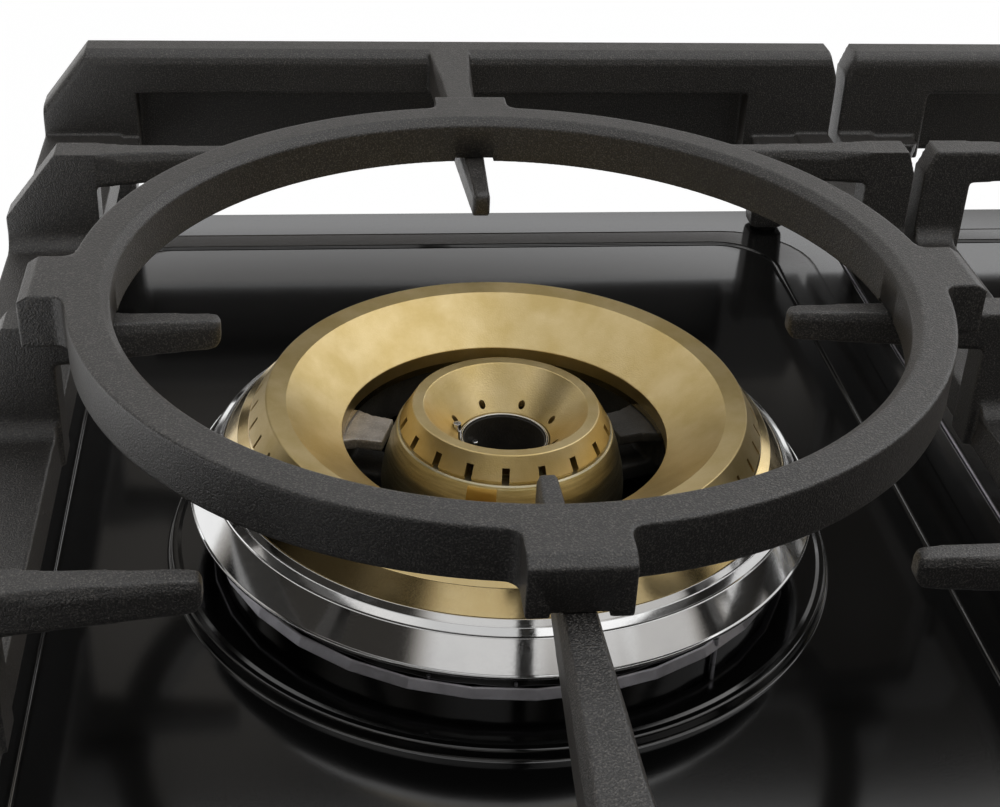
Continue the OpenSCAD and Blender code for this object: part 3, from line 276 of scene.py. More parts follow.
# A finish with two tones in patches, a fine grain in the roughness and a bump from the same grain, and where given,
# painted glints as light specks on the grain
def makeFinish(name, facts):
    finish = bpy.data.materials.new(name)
    finish.use_nodes = True
    tree = finish.node_tree
    shader = tree.nodes["Principled BSDF"]
    shader.inputs["Metallic"].default_value = facts.get("metal", 0.0)
    shader.inputs["Specular IOR Level"].default_value = facts.get("specular", 0.5)
    shader.inputs["IOR"].default_value = facts.get("glass", 1.5)
    shader.inputs["Sheen Weight"].default_value = facts.get("sheen", 0.0)
    shader.inputs["Sheen Tint"].default_value = (0.75, 0.66, 0.58, 1)
    where = addNode(tree, "TexCoord").outputs["Object"]
    if "brushed" in facts:
        where = addNode(tree, "Mapping", {"Vector": where, "Scale": facts["brushed"]}).outputs["Vector"]
    patch = grainNode(tree, where, facts["patch"], 4.0)
    grain = grainNode(tree, where, facts["grain"], 2.0, 0.6)
    patchShare = rampNode(tree, patch.outputs["Fac"], 0.35, 0.65, 0, 1).outputs["Result"]
    grainShare = rampNode(tree, grain.outputs["Fac"], 0.3, 0.7, 0, 1).outputs["Result"]
    tone = mixColour(tree, patchShare, facts["dark"], facts["light"])
    # light specks on the grain: painted glints that stand in for the sparkle of a rough surface
    if "paintedGlint" in facts:
        paintedGlintShare = rampNode(tree, grain.outputs["Fac"], *facts["paintedGlintFrom"], 0, 1).outputs["Result"]
        tone = mixColour(tree, paintedGlintShare, tone, facts["paintedGlint"])
    tree.links.new(tone, shader.inputs["Base Color"])
    low, high = facts["rough"]
    tree.links.new(rampNode(tree, grainShare, 0, 1, low, high).outputs["Result"], shader.inputs["Roughness"])
    wave = grainNode(tree, where, facts["wave"], 2.0)
    swell = addNode(tree, "Bump",
                    {"Strength": 1.0, "Distance": facts["waveHeight"] * mm, "Height": wave.outputs["Fac"]})
    bump = addNode(tree, "Bump",
                   {"Strength": 1.0, "Distance": facts["grainHeight"] * mm, "Height": grain.outputs["Fac"],
                    "Normal": swell.outputs["Normal"]})
    tree.links.new(bump.outputs["Normal"], shader.inputs["Normal"])
    return finish


finishFacts = {
    "black_enamel": {"dark": (0.005, 0.005, 0.005), "light": (0.007, 0.007, 0.007), "rough": (0.09, 0.14), "patch": 60,
                     "grain": 0.5, "grainHeight": 0.0006, "wave": 6, "waveHeight": 0.002, "glass": 1.9},
    # cast iron: two dark tones, with light specks that are painted glints
    "cast_iron": {"dark": (0.012, 0.0115, 0.011), "light": (0.02, 0.0192, 0.0183), "paintedGlint": (0.24, 0.222, 0.204),
                  "paintedGlintFrom": (0.5, 0.74), "rough": (0.29, 0.44), "patch": 11, "grain": 0.45, "grainHeight": 0.26,
                  "wave": 2.2, "waveHeight": 0.08, "specular": 1.0, "sheen": 0.15},
    "satin_brass": {"dark": (0.64, 0.485, 0.21), "light": (0.75, 0.595, 0.31), "rough": (0.3, 0.44), "patch": 12,
                    "grain": 0.45, "grainHeight": 0.055, "wave": 2.5, "waveHeight": 0.01, "metal": 1.0},
    "polished_brass": {"dark": (0.62, 0.47, 0.22), "light": (0.7, 0.56, 0.3), "rough": (0.12, 0.2), "patch": 15,
                       "grain": 0.4, "grainHeight": 0.003, "wave": 5, "waveHeight": 0.003, "metal": 1.0},
    "brushed_brass": {"dark": (0.58, 0.52, 0.33), "light": (0.8, 0.74, 0.54), "rough": (0.26, 0.42), "patch": 10,
                      "grain": 0.5, "grainHeight": 0.02, "wave": 3, "waveHeight": 0.004, "metal": 1.0,
                      "brushed": (1, 1, 12)},
    "mirror_steel": {"dark": (0.72, 0.72, 0.72), "light": (0.79, 0.79, 0.785), "rough": (0.07, 0.13), "patch": 20,
                     "grain": 0.6, "grainHeight": 0.0008, "wave": 9, "waveHeight": 0.002, "metal": 1.0},
    "dark_casting": {"dark": (0.03, 0.028, 0.026), "light": (0.055, 0.052, 0.048), "rough": (0.5, 0.75), "patch": 9,
                     "grain": 0.6, "grainHeight": 0.16, "wave": 4, "waveHeight": 0.1, "specular": 0.4},
    # a lighter copy of the dark casting with light specks: painted highlight for the lit top of the left arm
    "lit_arm_casting": {"dark": (0.36, 0.33, 0.3), "light": (0.52, 0.48, 0.44), "paintedGlint": (0.6, 0.56, 0.52),
                       "paintedGlintFrom": (0.5, 0.7), "rough": (0.4, 0.6), "patch": 5, "grain": 0.6, "grainHeight": 0.2,
                       "wave": 1.6, "waveHeight": 0.15, "metal": 0.7},
    "sheet_steel": {"dark": (0.52, 0.51, 0.55), "light": (0.66, 0.65, 0.7), "rough": (0.28, 0.45), "patch": 7,
                    "grain": 0.8, "grainHeight": 0.006, "wave": 25, "waveHeight": 0.03, "metal": 0.95},
    "bright_steel": {"dark": (0.6, 0.6, 0.61), "light": (0.72, 0.72, 0.73), "rough": (0.18, 0.3), "patch": 8,
                     "grain": 0.5, "grainHeight": 0.004, "wave": 6, "waveHeight": 0.004, "metal": 1.0,
                     "brushed": (1, 1, 8)},
    "aluminium_tube": {"dark": (0.6, 0.61, 0.62), "light": (0.74, 0.75, 0.76), "rough": (0.25, 0.4), "patch": 10,
                       "grain": 0.6, "grainHeight": 0.006, "wave": 8, "waveHeight": 0.02, "metal": 1.0},
    "rubber": {"dark": (0.015, 0.015, 0.015), "light": (0.03, 0.03, 0.03), "rough": (0.65, 0.85), "patch": 8,
               "grain": 0.5, "grainHeight": 0.03, "wave": 4, "waveHeight": 0.05, "specular": 0.3},
    "moulded_plastic": {"dark": (0.03, 0.03, 0.033), "light": (0.045, 0.045, 0.05), "rough": (0.45, 0.6), "patch": 20,
                        "grain": 0.6, "grainHeight": 0.03, "wave": 10, "waveHeight": 0.05, "specular": 0.4},
    "knob_black": {"dark": (0.012, 0.012, 0.013), "light": (0.02, 0.02, 0.021), "rough": (0.3, 0.42), "patch": 14,
                   "grain": 0.4, "grainHeight": 0.006, "wave": 5, "waveHeight": 0.01, "specular": 0.5},
}
finishes = {name: makeFinish(name, facts) for name, facts in finishFacts.items()}
print("finishes mixed:", len(finishes))


# trays: a pressed sheet with a folded edge, a sloping dish with a lip, and a plateau under each burner

trayFacts = {
    "halfWidth": 148.5, "outerX": 152.0, "frontY": -212.0, "rearY": 212.5, "cornerRadius": 8.0, "jointRadius": 0.7,
    "fold": ((0, -6.0), (0, -2.0), (0.15, -1.23), (0.59, -0.59), (1.23, -0.15), (2.0, 0)),
    "jointFold": ((0, -1.4), (0, -0.7), (0.05, -0.43), (0.2, -0.2), (0.43, -0.05), (0.7, 0)),
    "dishHalfW": 137.4, "dishHalfD": 192.7, "dishRadius": 30.0, "slopeSide": 14.4, "slopeBack": 9.4,
    "sheet": 1.5, "rounds": 144,
    # the dish from its rim to the floor: share of the slope, how far out, and height
    "dish": ((0, 0.8, 0), (0, 0.3, -0.02), (0, 0, -0.05), (0.05, 0, -0.07), (0.9, 0, -0.2), (0.965, 0, -0.27),
             (0.99, 0, -0.36), (1, 0, -0.52), (1, -0.3, -0.82), (1, -0.8, -0.96), (1, -1.6, -1.0)),
    "endLip": 0.5,
    # a plateau from its foot to its top: how far out of the top's radius, height, radius of the corner
    "plateau": ((4.5, -1.0, 0), (1.6, -1.0, 1.0), (1.2, 2.2, 0.8), (-0.6, 2.25, 0.3), (-1.6, 2.5, 0.3)),
    "plateauTop": 2.5,
}


# The folded border: z and inset differ between a folded outer side and a joint side
def foldedLoops(facts, x0, x1, y0, y1, outerSides):
    loops = []
    for (inset, z), (jointInset, jointZ) in zip(facts["fold"], facts["jointFold"]):
        side = {s: (inset, z) if s in outerSides else (jointInset, jointZ) for s in "RTLB"}
        radii = [max(facts["cornerRadius"] - inset, 1) if a in outerSides and b in outerSides else facts["jointRadius"]
                 for a, b in ("RT", "TL", "LB", "BR")]
        flat = roundedLoop(x0 + side["L"][0], x1 - side["R"][0], y0 + side["B"][0], y1 - side["T"][0], radii)
        steps = len(flat) // 4 - 1
        loop = []
        for corner, (a, b) in enumerate(("RT", "TL", "LB", "BR")):
            for k in range(steps + 1):
                x, y = flat[corner * (steps + 1) + k]
                loop.append((x, y, side[a][1] + (side[b][1] - side[a][1]) * k / steps))
        loops.append(loop)
    return loops


# Gives a flat skin, whose face is the sheet's upper one, the thickness and finish of the enamelled sheet
def pressSheet(sheet, node):
    if sum(p.normal.z * p.area for p in sheet.data.polygons) < 0:
        sheet.data.flip_normals()
    thick = sheet.modifiers.new("sheet", "SOLIDIFY")
    thick.thickness = trayFacts["sheet"] * mm
    thick.offset = -1
    settle(sheet)
    dress(sheet, "base", "black_enamel", [node], sharp=50)


def makeTray(section, burners, node):
    f = trayFacts
    bm = bmesh.new()
    x0 = -f["outerX"] if section == "left" else -f["halfWidth"]
    x1 = f["outerX"] if section == "right" else f["halfWidth"]
    outerSides = {"left": "LT", "centre": "T", "right": "RT"}[section]
    loops = foldedLoops(f, x0, x1, f["frontY"], f["rearY"], outerSides)
    for share, out, z in f["dish"]:
        halfW = f["dishHalfW"] - f["slopeSide"] * share + out
        halfD = f["dishHalfD"] - f["slopeBack"] * share + out * f["endLip"]
        radius = f["dishRadius"] - f["slopeBack"] * share + out
        loops.append([(x, y, z) for x, y in roundedLoop(-halfW, halfW, -halfD, halfD, [radius] * 4)])
    border = loopEdges(bm, skinLoops(bm, loops)[-1])
    for (x, y), topRadius, holeRadius in burners:
        corners = [(topRadius + out, z, radius) for out, z, radius in f["plateau"]]
        line = softLine(corners + [(holeRadius, f["plateauTop"], 0)], closed=False)
        rings = []
        for p in line:
            ring = [onCircle(p.x, 360 * k / f["rounds"]) for k in range(f["rounds"])]
            rings.append([(x + across, y + along, p.y) for across, along in ring])
        border += loopEdges(bm, skinLoops(bm, rings)[0])
    bmesh.ops.triangle_fill(bm, edges=border, use_beauty=True, use_dissolve=False)
    pressSheet(makeObject(node + "_sheet", bm, (sectionX[section], burnerY, rimHeight)), node)


# the plateaus of each tray: middle, radius of the top and radius of the burner's hole
plateaus = {"left": [((0, 0), 91.1, 74.0)], "centre": [], "right": []}
smallPlateau = {"topBeyond": 22.0, "holeWithin": 4.0}
for name, facts in smallBurners.items():
    r = facts["radius"]
    middle = (0, facts["at"][1] - burnerY)
    plateaus[name.split("_")[0]].append((middle, r + smallPlateau["topBeyond"], r - smallPlateau["holeWithin"]))
for section, burners in plateaus.items():
    makeTray(section, burners, section + "_tray")
print("trays pressed")


# control panel: the same sheet along the front edge, with a hole for each spindle

panelFacts = {"halfWidth": 450.0, "frontY": -260.0, "rearY": -165.5, "knobY": -212.5,
              "knobX": (-200, -100, 0, 100, 200), "holeRadius": 6.0, "holeSides": 32}


def makePanel(f):
    bm = bmesh.new()
    loops = foldedLoops(trayFacts, -f["halfWidth"], f["halfWidth"], f["frontY"], f["rearY"], "LRB")
    border = loopEdges(bm, skinLoops(bm, loops)[-1])
    for x in f["knobX"]:
        sides = f["holeSides"]
        spots = [onCircle(f["holeRadius"], 360 * k / sides) for k in range(sides)]
        hole = [bm.verts.new((x + across, f["knobY"] + along, 0)) for across, along in spots]
        border += [bm.edges.new((hole[k], hole[(k + 1) % sides])) for k in range(sides)]
    bmesh.ops.triangle_fill(bm, edges=border, use_beauty=True, use_dissolve=False)
    pressSheet(makeObject("control_panel_sheet", bm), "control_panel")


makePanel(panelFacts)
print("control panel pressed")


# grates: sand-cast iron, melted together from rails, bars, posts, fingers and legs

grateFacts = {
    "halfWidth": 147.25, "barInner": 198.25, "barOuter": 211.25, "top": 70.0, "railLow": 28.0, "railHigh": 38.4,
    "railWidth": {"outer": 28.0, "inner": 14.0}, "postWidth": {"outer": 28.9, "inner": 16.2}, "postThick": 10.0,
    "cut": {"outer": (16.7, 21.2), "inner": (3.0, 8.0)}, "legIn": {"outer": 17.2, "inner": 13.4}, "rowY": 111.5,
    "rows": {"single": (-108.0, 1.2, 111.5), "pair": (-111.5, 0.0, 111.5)}, "windowX": 113.65, "windowTop": 54.6,
    "web": 4.0, "barBevel": 4.3, "fillet": 5.5, "fingerRoot": (10.0, 58.5), "fingerTip": (5.6, 62.0), "tipX": 75.8,
    "pairTip": 30.0, "centreRoot": (14.7, 54.6), "centreTip": (5.2, 62.0), "legSize": (15.0, 14.0),
    # a leg's outline in halves of its size, and from its foot up its height and share of the size
    "legShape": ((-1, -0.7), (-0.7, -1), (0.7, -1), (1, -0.7), (1, 0.7), (0.7, 1), (-0.7, 1), (-1, 0.7)),
    "legTaper": ((1.5, 0.84), (3.5, 0.88), (22.0, 0.97), (37.4, 1.25)),
    # a finger's ends: distance from the tip, share of its width, lift of its underside, fall of its top
    "fingerEnd": ((0, 0.66, 2.4, 1.5), (0.5, 0.84, 1.2, 0.6), (1.4, 0.96, 0.3, 0.1), (2.6, 1, 0, 0)),
    "rootPart": 0.75, "fingerBevel": 0.27, "rootBevel": 0.03, "frontTipShort": 2.0,
    # the cast skin: size of the melt, softenings, share of the faces that stays
    "skins": {"single": (0.55, 1, 0.2), "pair": (0.8, 1, 0.25)},
}


# A finger from root to tip along +X; its flat top is narrower than its waist, and its blunt tip is rounded
def finger(bm, rootX, tipX, root, tip, top, turnBy, middleY=0):
    f = grateFacts
    (rootWidth, rootLow), (tipWidth, tipLow) = root, tip
    away = 1 if rootX > tipX else -1
    rings = []
    reach = abs(rootX - tipX)
    for distance, narrow, lift, sink in (*f["fingerEnd"], (reach * f["rootPart"], 1, 0, 0), (reach, 1, 0, 0)):
        x = tipX + away * distance
        share = (x - tipX) / (rootX - tipX)
        half = (tipWidth + (rootWidth - tipWidth) * share) / 2 * narrow
        low = tipLow + (rootLow - tipLow) * share + lift
        high = top - sink
        bevel = f["rootBevel"] if distance == reach else f["fingerBevel"]
        edge = [(0.88, 0), (1, 0.1), (1, 1 - bevel), (1 - bevel, 1)]
        shape = edge + [(-across, up) for across, up in reversed(edge)]
        rings.append([Vector((x, middleY + half * across, low + (high - low) * up)) for across, up in shape])
    loft(bm, rings, turnBy)


# One long side of a grate: its rail, posts, side fingers and legs, turned to the left by the sign of s
def grateSide(bm, f, side, kind, isPair):
    s = 1 if side == "right" else -1
    half, top = f["halfWidth"], f["top"]
    rail, post = f["railWidth"][kind], f["postWidth"][kind]
    cutX, cutZ = f["cut"][kind]
    prism(bm, "y",
          [(s * (half - rail), f["railLow"]), (s * half, f["railLow"]), (s * half, f["railHigh"]),
           (s * (half - rail + 0.8), f["railHigh"])], -f["barOuter"], f["barOuter"])
    for y in f["rows"]["pair" if isPair else "single"]:
        outline = [(s * (half - post), f["railLow"]), (s * half, f["railLow"]), (s * half, top - cutZ),
                   (s * (half - cutX), top), (s * (half - post), top)]
        prism(bm, "y", outline, y - f["postThick"] / 2, y + f["postThick"] / 2)
        r = f["fillet"]
        for way in (-1, 1):
            foot = y + way * f["postThick"] / 2
            arc = [(foot + way * r * (1 - math.sin(a)), f["railHigh"] + r * (1 - math.cos(a)))
                   for a in (math.radians(d) for d in range(0, 91, 15))]
            curve = [(foot - way, f["railHigh"] - 1),
                     (foot + way * r, f["railHigh"] - 1)] + arc + [(foot - way, f["railHigh"] + r)]
            prism(bm, "x", curve, *sorted((s * (half - rail + 0.4), s * (half - 0.1))))
        if not (isPair and y == 0):
            finger(bm, s * (half - post + 1), s * (f["pairTip"] if isPair else f["tipX"]), f["fingerRoot"],
                   f["fingerTip"], top, 0, y)
    legW, legD = f["legSize"]
    x = s * (half - f["legIn"][kind] - legW / 2)
    for way in (-1, 1):
        y = way * f["barInner"]
        loft(bm, [[(x + legW / 2 * share * a, y + legD / 2 * share * b, z) for a, b in f["legShape"]]
                  for z, share in f["legTaper"]])


# The front or rear bar: full thickness over the window and at both ends, a thin web across the window
def grateBar(bm, f, way, kinds):
    half, top = f["halfWidth"], f["top"]
    (leftX, leftZ), (rightX, rightZ) = (f["cut"][kind] for kind in kinds)
    inner, outer = way * f["barInner"], way * f["barOuter"]
    bevel = f["barBevel"]
    faces = [(inner, f["railLow"]), (outer, f["railLow"]), (outer, top), (inner + way * bevel, top),
             (inner + way * bevel * 0.45, top - bevel * 0.16), (inner + way * bevel * 0.14, top - bevel * 0.5),
             (inner, top - bevel)]
    beam = [(y, max(z, f["windowTop"])) for y, z in faces]
    window = f["windowX"]
    prism(bm, "x", beam, -window - 1, window + 1)
    for s, cutX, cutZ in ((-1, leftX, leftZ), (1, rightX, rightZ)):
        rings = []
        for x, fall in ((window, 0), (half - cutX, 0), (half, cutZ)):
            rings.append([Vector((s * x, y, z - fall if z > f["windowTop"] else z)) for y, z in faces])
        loft(bm, rings)
    block(bm, (-window - 1, min(outer, outer - way * f["web"]), f["railLow"]),
          (window + 1, max(outer, outer - way * f["web"]), f["windowTop"] + 1))


def makeGrate(node, section, kinds, isPair):
    f = grateFacts
    bm = bmesh.new()
    for side, kind in zip(("left", "right"), kinds):
        grateSide(bm, f, side, kind, isPair)
    for way in (-1, 1):
        grateBar(bm, f, way, kinds)
        tip = f["rowY"] + f["pairTip"] if isPair else f["tipX"] - (f["frontTipShort"] if way < 0 else 0)
        finger(bm, f["barInner"] + f["barBevel"], tip, f["centreRoot"], f["centreTip"], f["top"], 90 * way)
        if isPair:
            finger(bm, 0, f["rowY"] - f["pairTip"], f["fingerRoot"], f["fingerTip"], f["top"], 90 * way)
    if isPair:
        reach = f["halfWidth"] - f["postWidth"]["inner"] + 1
        width, low = f["fingerRoot"]
        outline = [(-width * 0.43, low), (width * 0.43, low), (width / 2, low + 2), (width * 0.45, f["top"] - 1.6),
                   (width * 0.34, f["top"]), (-width * 0.34, f["top"]), (-width * 0.45, f["top"] - 1.6),
                   (-width / 2, low + 2)]
        prism(bm, "x", outline, -reach, reach)
    grate = makeObject(node + "_casting", bm, (sectionX[section], burnerY, rimHeight))
    castSkin(grate, *f["skins"]["pair" if isPair else "single"])
    dress(grate, node, "cast_iron", [node], sharp=0, weighted=False)


makeGrate("left_grate", "left", ("outer", "inner"), False)
makeGrate("centre_grate", "centre", ("inner", "inner"), True)
makeGrate("right_grate", "right", ("inner", "outer"), True)
print("grates cast")


# wok ring: a turned ring with four tabs that straddle the fingers

ringFacts = {"outer": 113.7, "width": 11.0, "low": 69.0, "seat": 70.4, "high": 83.2, "bevel": 2.3, "tabWidth": 22.6,
             "tabOut": 121.7, "tabEnd": 124.8, "tabFall": 1.9, "prongLow": 68.7, "notch": 12.4, "tabRoot": 109.7,
             "fillet": 3.5, "skin": (0.45, 1, 0.2)}


def makeWokRing(f):
    bm = bmesh.new()
    inner = f["outer"] - f["width"]
    turnProfile(bm, softLine([(inner, f["low"], 0.6), (f["outer"], f["low"], 0.8), (f["outer"], f["high"], 0.8),
                              (inner + f["bevel"], f["high"], 0.4), (inner, f["high"] - f["bevel"], 0.6)]), 240)
    for turnBy in range(0, 360, 90):
        half = f["tabWidth"] / 2
        side = [(f["tabRoot"], f["low"]), (f["tabEnd"], f["low"]), (f["tabEnd"], f["high"] - f["tabFall"]),
                (f["tabOut"], f["high"]), (f["tabRoot"], f["high"])]
        prism(bm, "y", side, -half, half, turnBy)
        for way in (-1, 1):
            a, b = way * f["notch"] / 2, way * half
            loops = []
            for z, k in ((f["prongLow"], 0.8), (f["prongLow"] + 0.8, 1), (f["low"] + 1, 1)):
                mid, halfW = (a + b) / 2, abs(b - a) / 2 * k
                loops.append([Vector((x, mid + sign * halfW, z))
                              for x, sign in ((f["tabRoot"], -1), (f["tabEnd"] - 0.4, -1), (f["tabEnd"] - 0.4, 1),
                                              (f["tabRoot"], 1))])
            loft(bm, loops, turnBy)
            # soft inner corner between the tab's side and the ring
            r = f["fillet"]
            ringX = math.sqrt(f["outer"] ** 2 - half ** 2)
            arc = [(ringX + r * (1 - math.sin(t)) - 0.3, way * (half + r * (1 - math.cos(t))))
                   for t in (math.radians(d) for d in range(0, 91, 15))]
            corner = [(ringX - 3, way * (half - 1)),
                      (ringX + r, way * (half - 1))] + arc + [(ringX - 3, way * (half + r))]
            prism(bm, "z", corner, f["low"] + 0.2, f["high"] - 0.2, turnBy)
    ring = makeObject("wok_ring_casting", bm, wokPlace)
    tool = bmesh.new()
    for turnBy in range(0, 360, 90):
        block(tool, (inner - 3, -f["notch"] / 2, f["low"] - 3), (f["tabEnd"] + 3, f["notch"] / 2, f["seat"]), turnBy)
    castSkin(ring, *f["skin"], makeObject("notchTool", tool, wokPlace))
    dress(ring, "wok_ring", "cast_iron", ["wok_ring"], sharp=0, weighted=False)


makeWokRing(ringFacts)
print("wok ring cast")


# wok burner: brass caps and flame ring, a steel skirt, a brushed inner body and a dark cast head

# Cuts evenly spaced upright slots into a turned piece
def cutSlots(shape, count, turnBy, r0, r1, width, low, high, place):
    bm = bmesh.new()
    for k in range(count):
        block(bm, (r0, -width / 2, low), (r1, width / 2, high), turnBy + 360 * k / count)
    carve(shape, makeObject("slotTool", bm, place))


def makeTurned(name, corners, body, slotName, nodes, place, rounds=180, slots=None, steps=4, sharp=35):
    bm = bmesh.new()
    turnProfile(bm, softLine(corners, steps=steps), rounds)
    shape = makeObject(name, bm, place)
    for slotFacts in slots or ():
        cutSlots(shape, *slotFacts, place)
    return dress(shape, body, slotName, nodes, sharp=sharp)


# Turned pieces: the node that a piece replaces, its body and finish, its rounds, its slots and its profile. A row of
# slots is the count, first angle, inner and outer radius, width, low and high.
wokTurned = {
    "wok_outer_cap_brass": {
        "node": "wok_outer_cap", "body": "wok_outer_cap", "finish": "satin_brass", "rounds": 240,
        "slots": [(48, 3.75, 62, 71, 1.1, 37, 42.3)],
        "profile": [(44.6, 30.5, 0), (44.6, 34.5, 0.5), (59.5, 45.2, 0.4), (65, 45.9, 0.6), (69.8, 38.3, 0.3),
                    (66.5, 38.2, 0), (63, 43.2, 0), (59.5, 43.2, 0), (46.6, 33.8, 0), (46.6, 30.5, 0)]},
    "wok_flame_ring_brass": {
        "node": "wok_flame_ring", "body": "wok_burner", "finish": "polished_brass", "rounds": 240,
        "profile": [(44.6, 28.5, 0), (77, 28.5, 0.3), (77, 30, 0.4), (72.7, 35.7, 0.9), (69.9, 37.2, 0.4),
                    (69.4, 38.2, 0.2), (66.5, 38.2, 0), (66.5, 30.5, 0), (44.6, 30.5, 0)]},
    "wok_skirt_steel": {
        "node": "wok_skirt", "body": "wok_burner", "finish": "mirror_steel", "rounds": 240,
        "profile": [(72, 27, 0), (72, 28.5, 0), (77.15, 28.5, 0), (77.15, 30, 0.1), (77.45, 30, 0.1),
                    (78.3, 28.7, 0.15), (78.5, 28.35, 0.1), (78.75, 28.5, 0.15), (80.5, 27.35, 0.2), (80.7, 26.95, 0.1),
                    (80.95, 27.0, 0.15), (85.6, 19.8, 0.4), (86.1, 19.5, 0.3), (86.15, 18.8, 0.3), (85.4, 18.4, 0.3),
                    (84.4, 18.7, 0.3), (80.2, 25.7, 0), (77.15, 27, 0)]},
    "wok_inner_body_brass": {
        "node": "wok_inner_body", "body": "wok_burner", "finish": "brushed_brass", "rounds": 180,
        "profile": [(12.4, 17, 0), (34, 17, 0.6), (33.9, 19.4, 0.6), (33.2, 24, 3), (31.6, 30, 5), (29.8, 35, 0.15),
                    (29.4, 35.4, 0.1), (26.1, 35.4, 0), (26.1, 27, 0), (15, 27, 0), (15, 29, 0), (12.4, 29, 0)]},
    "wok_inner_cap_brass": {
        "node": "wok_inner_cap", "body": "wok_inner_cap", "finish": "satin_brass", "rounds": 180,
        "slots": [(18, 4, 23.6, 30.5, 2.0, 34.6, 39.4)],
        "profile": [(12.7, 29, 0), (12.7, 31.7, 0.5), (22.5, 42.2, 0.5), (25.5, 42.3, 0.6), (29.1, 36.1, 0.25),
                    (28.6, 35.8, 0), (28.6, 35.4, 0), (26.1, 35.4, 0), (23.5, 40.3, 0), (22.5, 40.3, 0),
                    (14.7, 31.7, 0), (14.7, 29, 0)]},
}
wokBore = {
    "wok_bore_ring_steel": {
        "node": "wok_bore_ring", "body": "wok_burner", "finish": "mirror_steel", "rounds": 96,
        "profile": [(12.4, 24, 0), (12.4, 31.8, 0.25), (11.6, 31.8, 0.25), (11.6, 24, 0)]},
    # a dark lining inside the bore: painted shade for the dark depth of the bore
    "wok_bore_painted_shade": {
        "body": "wok_burner", "finish": "dark_casting", "rounds": 96,
        "profile": [(0, 11.2, 0), (11.5, 11.2, 0), (11.5, 31.2, 0.2), (11.1, 31.2, 0.2), (11.1, 11.6, 0),
                    (0, 11.6, 0)]},
}


def turnTable(table):
    made = {}
    for name, f in table.items():
        nodes = [f["node"]] if "node" in f else []
        made[name] = makeTurned(name, f["profile"], f["body"], f["finish"], nodes, wokPlace, f["rounds"],
                                f.get("slots"))
    return made


turned = turnTable(wokTurned)

# Gas holes round the inner funnel, and a wider one for the spark tip that stands in it
funnelFacts = {"holes": 8, "firstAngle": 19.5, "holeRadius": 0.95, "across": 14.6, "tipAngle": 164, "tipAcross": 13.3,
               "tipHole": 1.25, "tipRadius": 1.12, "tipLow": 29.1, "tipHigh": 34.2}


def drillFunnel(f):
    drill = bmesh.new()
    tipAt = onCircle(f["tipAcross"], f["tipAngle"])
    holes = [(*onCircle(f["across"], f["firstAngle"] + 360 * k / f["holes"]), f["holeRadius"])
             for k in range(f["holes"])]
    for x, y, radius in holes + [(*tipAt, f["tipHole"])]:
        turnProfile(drill, softLine([(0, 27, 0), (radius, 27, 0), (radius, 40, 0), (0, 40, 0)]), 20, at=(x, y))
    carve(turned["wok_inner_cap_brass"], makeObject("drill", drill, wokPlace))
    tip = bmesh.new()
    line = [(0, f["tipLow"], 0), (f["tipRadius"], f["tipLow"], 0), (f["tipRadius"], f["tipHigh"], 0.15),
            (0, f["tipHigh"], 0)]
    turnProfile(tip, softLine(line), 32, at=tipAt)
    dress(makeObject("wok_spark_tip", tip, wokPlace), "wok_burner", "bright_steel")


drillFunnel(funnelFacts)
turnTable(wokBore)


# The seam on the front of the inner body: a bright patch and, left of it, the browned one, both a little proud of the
# body. A row of patches is the name, the first angle, the width in degrees and the finish.
seamFacts = {"line": ((34.0, 17.4), (33.8, 20), (33.0, 24.5), (31.5, 30), (29.9, 34.6)), "proud": 0.5, "steps": 10,
             "patches": (("wok_inner_body_patch", -99.5, 19.0, "brushed_brass"),
                         ("wok_inner_body_seam", -115.0, 14.8, "polished_brass"))}


def makeSeamPatch(name, first, wide, finish):
    f = seamFacts
    turns = [first + wide * k / f["steps"] for k in range(f["steps"] + 1)]
    around = [(r + f["proud"], z) for r, z in f["line"]] + [(r - f["proud"], z) for r, z in reversed(f["line"])]
    bm = bmesh.new()
    loft(bm, [[(*onCircle(r, angle), z) for r, z in around] for angle in turns])
    patch = dress(makeObject(name, bm, wokPlace), "wok_burner", "brushed_brass", sharp=25)
    patch.data.materials[0] = finishes[finish]


for row in seamFacts["patches"]:
    makeSeamPatch(*row)


# The many-sided heat plate: a slanted band round the base, rivets over it, a pin at the right and a dark neck above.
# A row of rivets is the angles, then radius, half width, low and high.
heatFacts = {"sides": 32, "band": ((79.5, 7.6), (81.0, 7.6), (81.2, 7.9), (80.0, 10.1), (79.7, 10.4), (79.5, 10.4)),
             "rivets": (((-109, -93.6, 11, 56, 101, 146), 79.5, 0.45, 11.2, 12.2), ((-53,), 79.9, 0.7, 2.5, 10.6)),
             "neck": [(70, 12, 0), (78.8, 12, 0), (78.8, 15, 0.5), (70, 15, 0)]}


def makeHeatPlate(f):
    sides = f["sides"]
    bm = bmesh.new()
    rings = [[(*onCircle(r, 360 * k / sides), z) for k in range(sides)] for r, z in f["band"]]
    skinLoops(bm, rings, allRound=True)
    for angles, r, radius, low, high in f["rivets"]:
        for angle in angles:
            line = softLine([(0, low, 0), (radius, low, 0.1), (radius, high, 0.2), (0, high, 0)])
            turnProfile(bm, line, 20, at=onCircle(r, angle))
    dress(makeObject("wok_heat_plate_band", bm, wokPlace), "base", "sheet_steel", ["wok_heat_plate"], sharp=8)
    makeTurned("wok_heat_plate_neck", f["neck"], "base", "black_enamel", [], wokPlace)


makeHeatPlate(heatFacts)
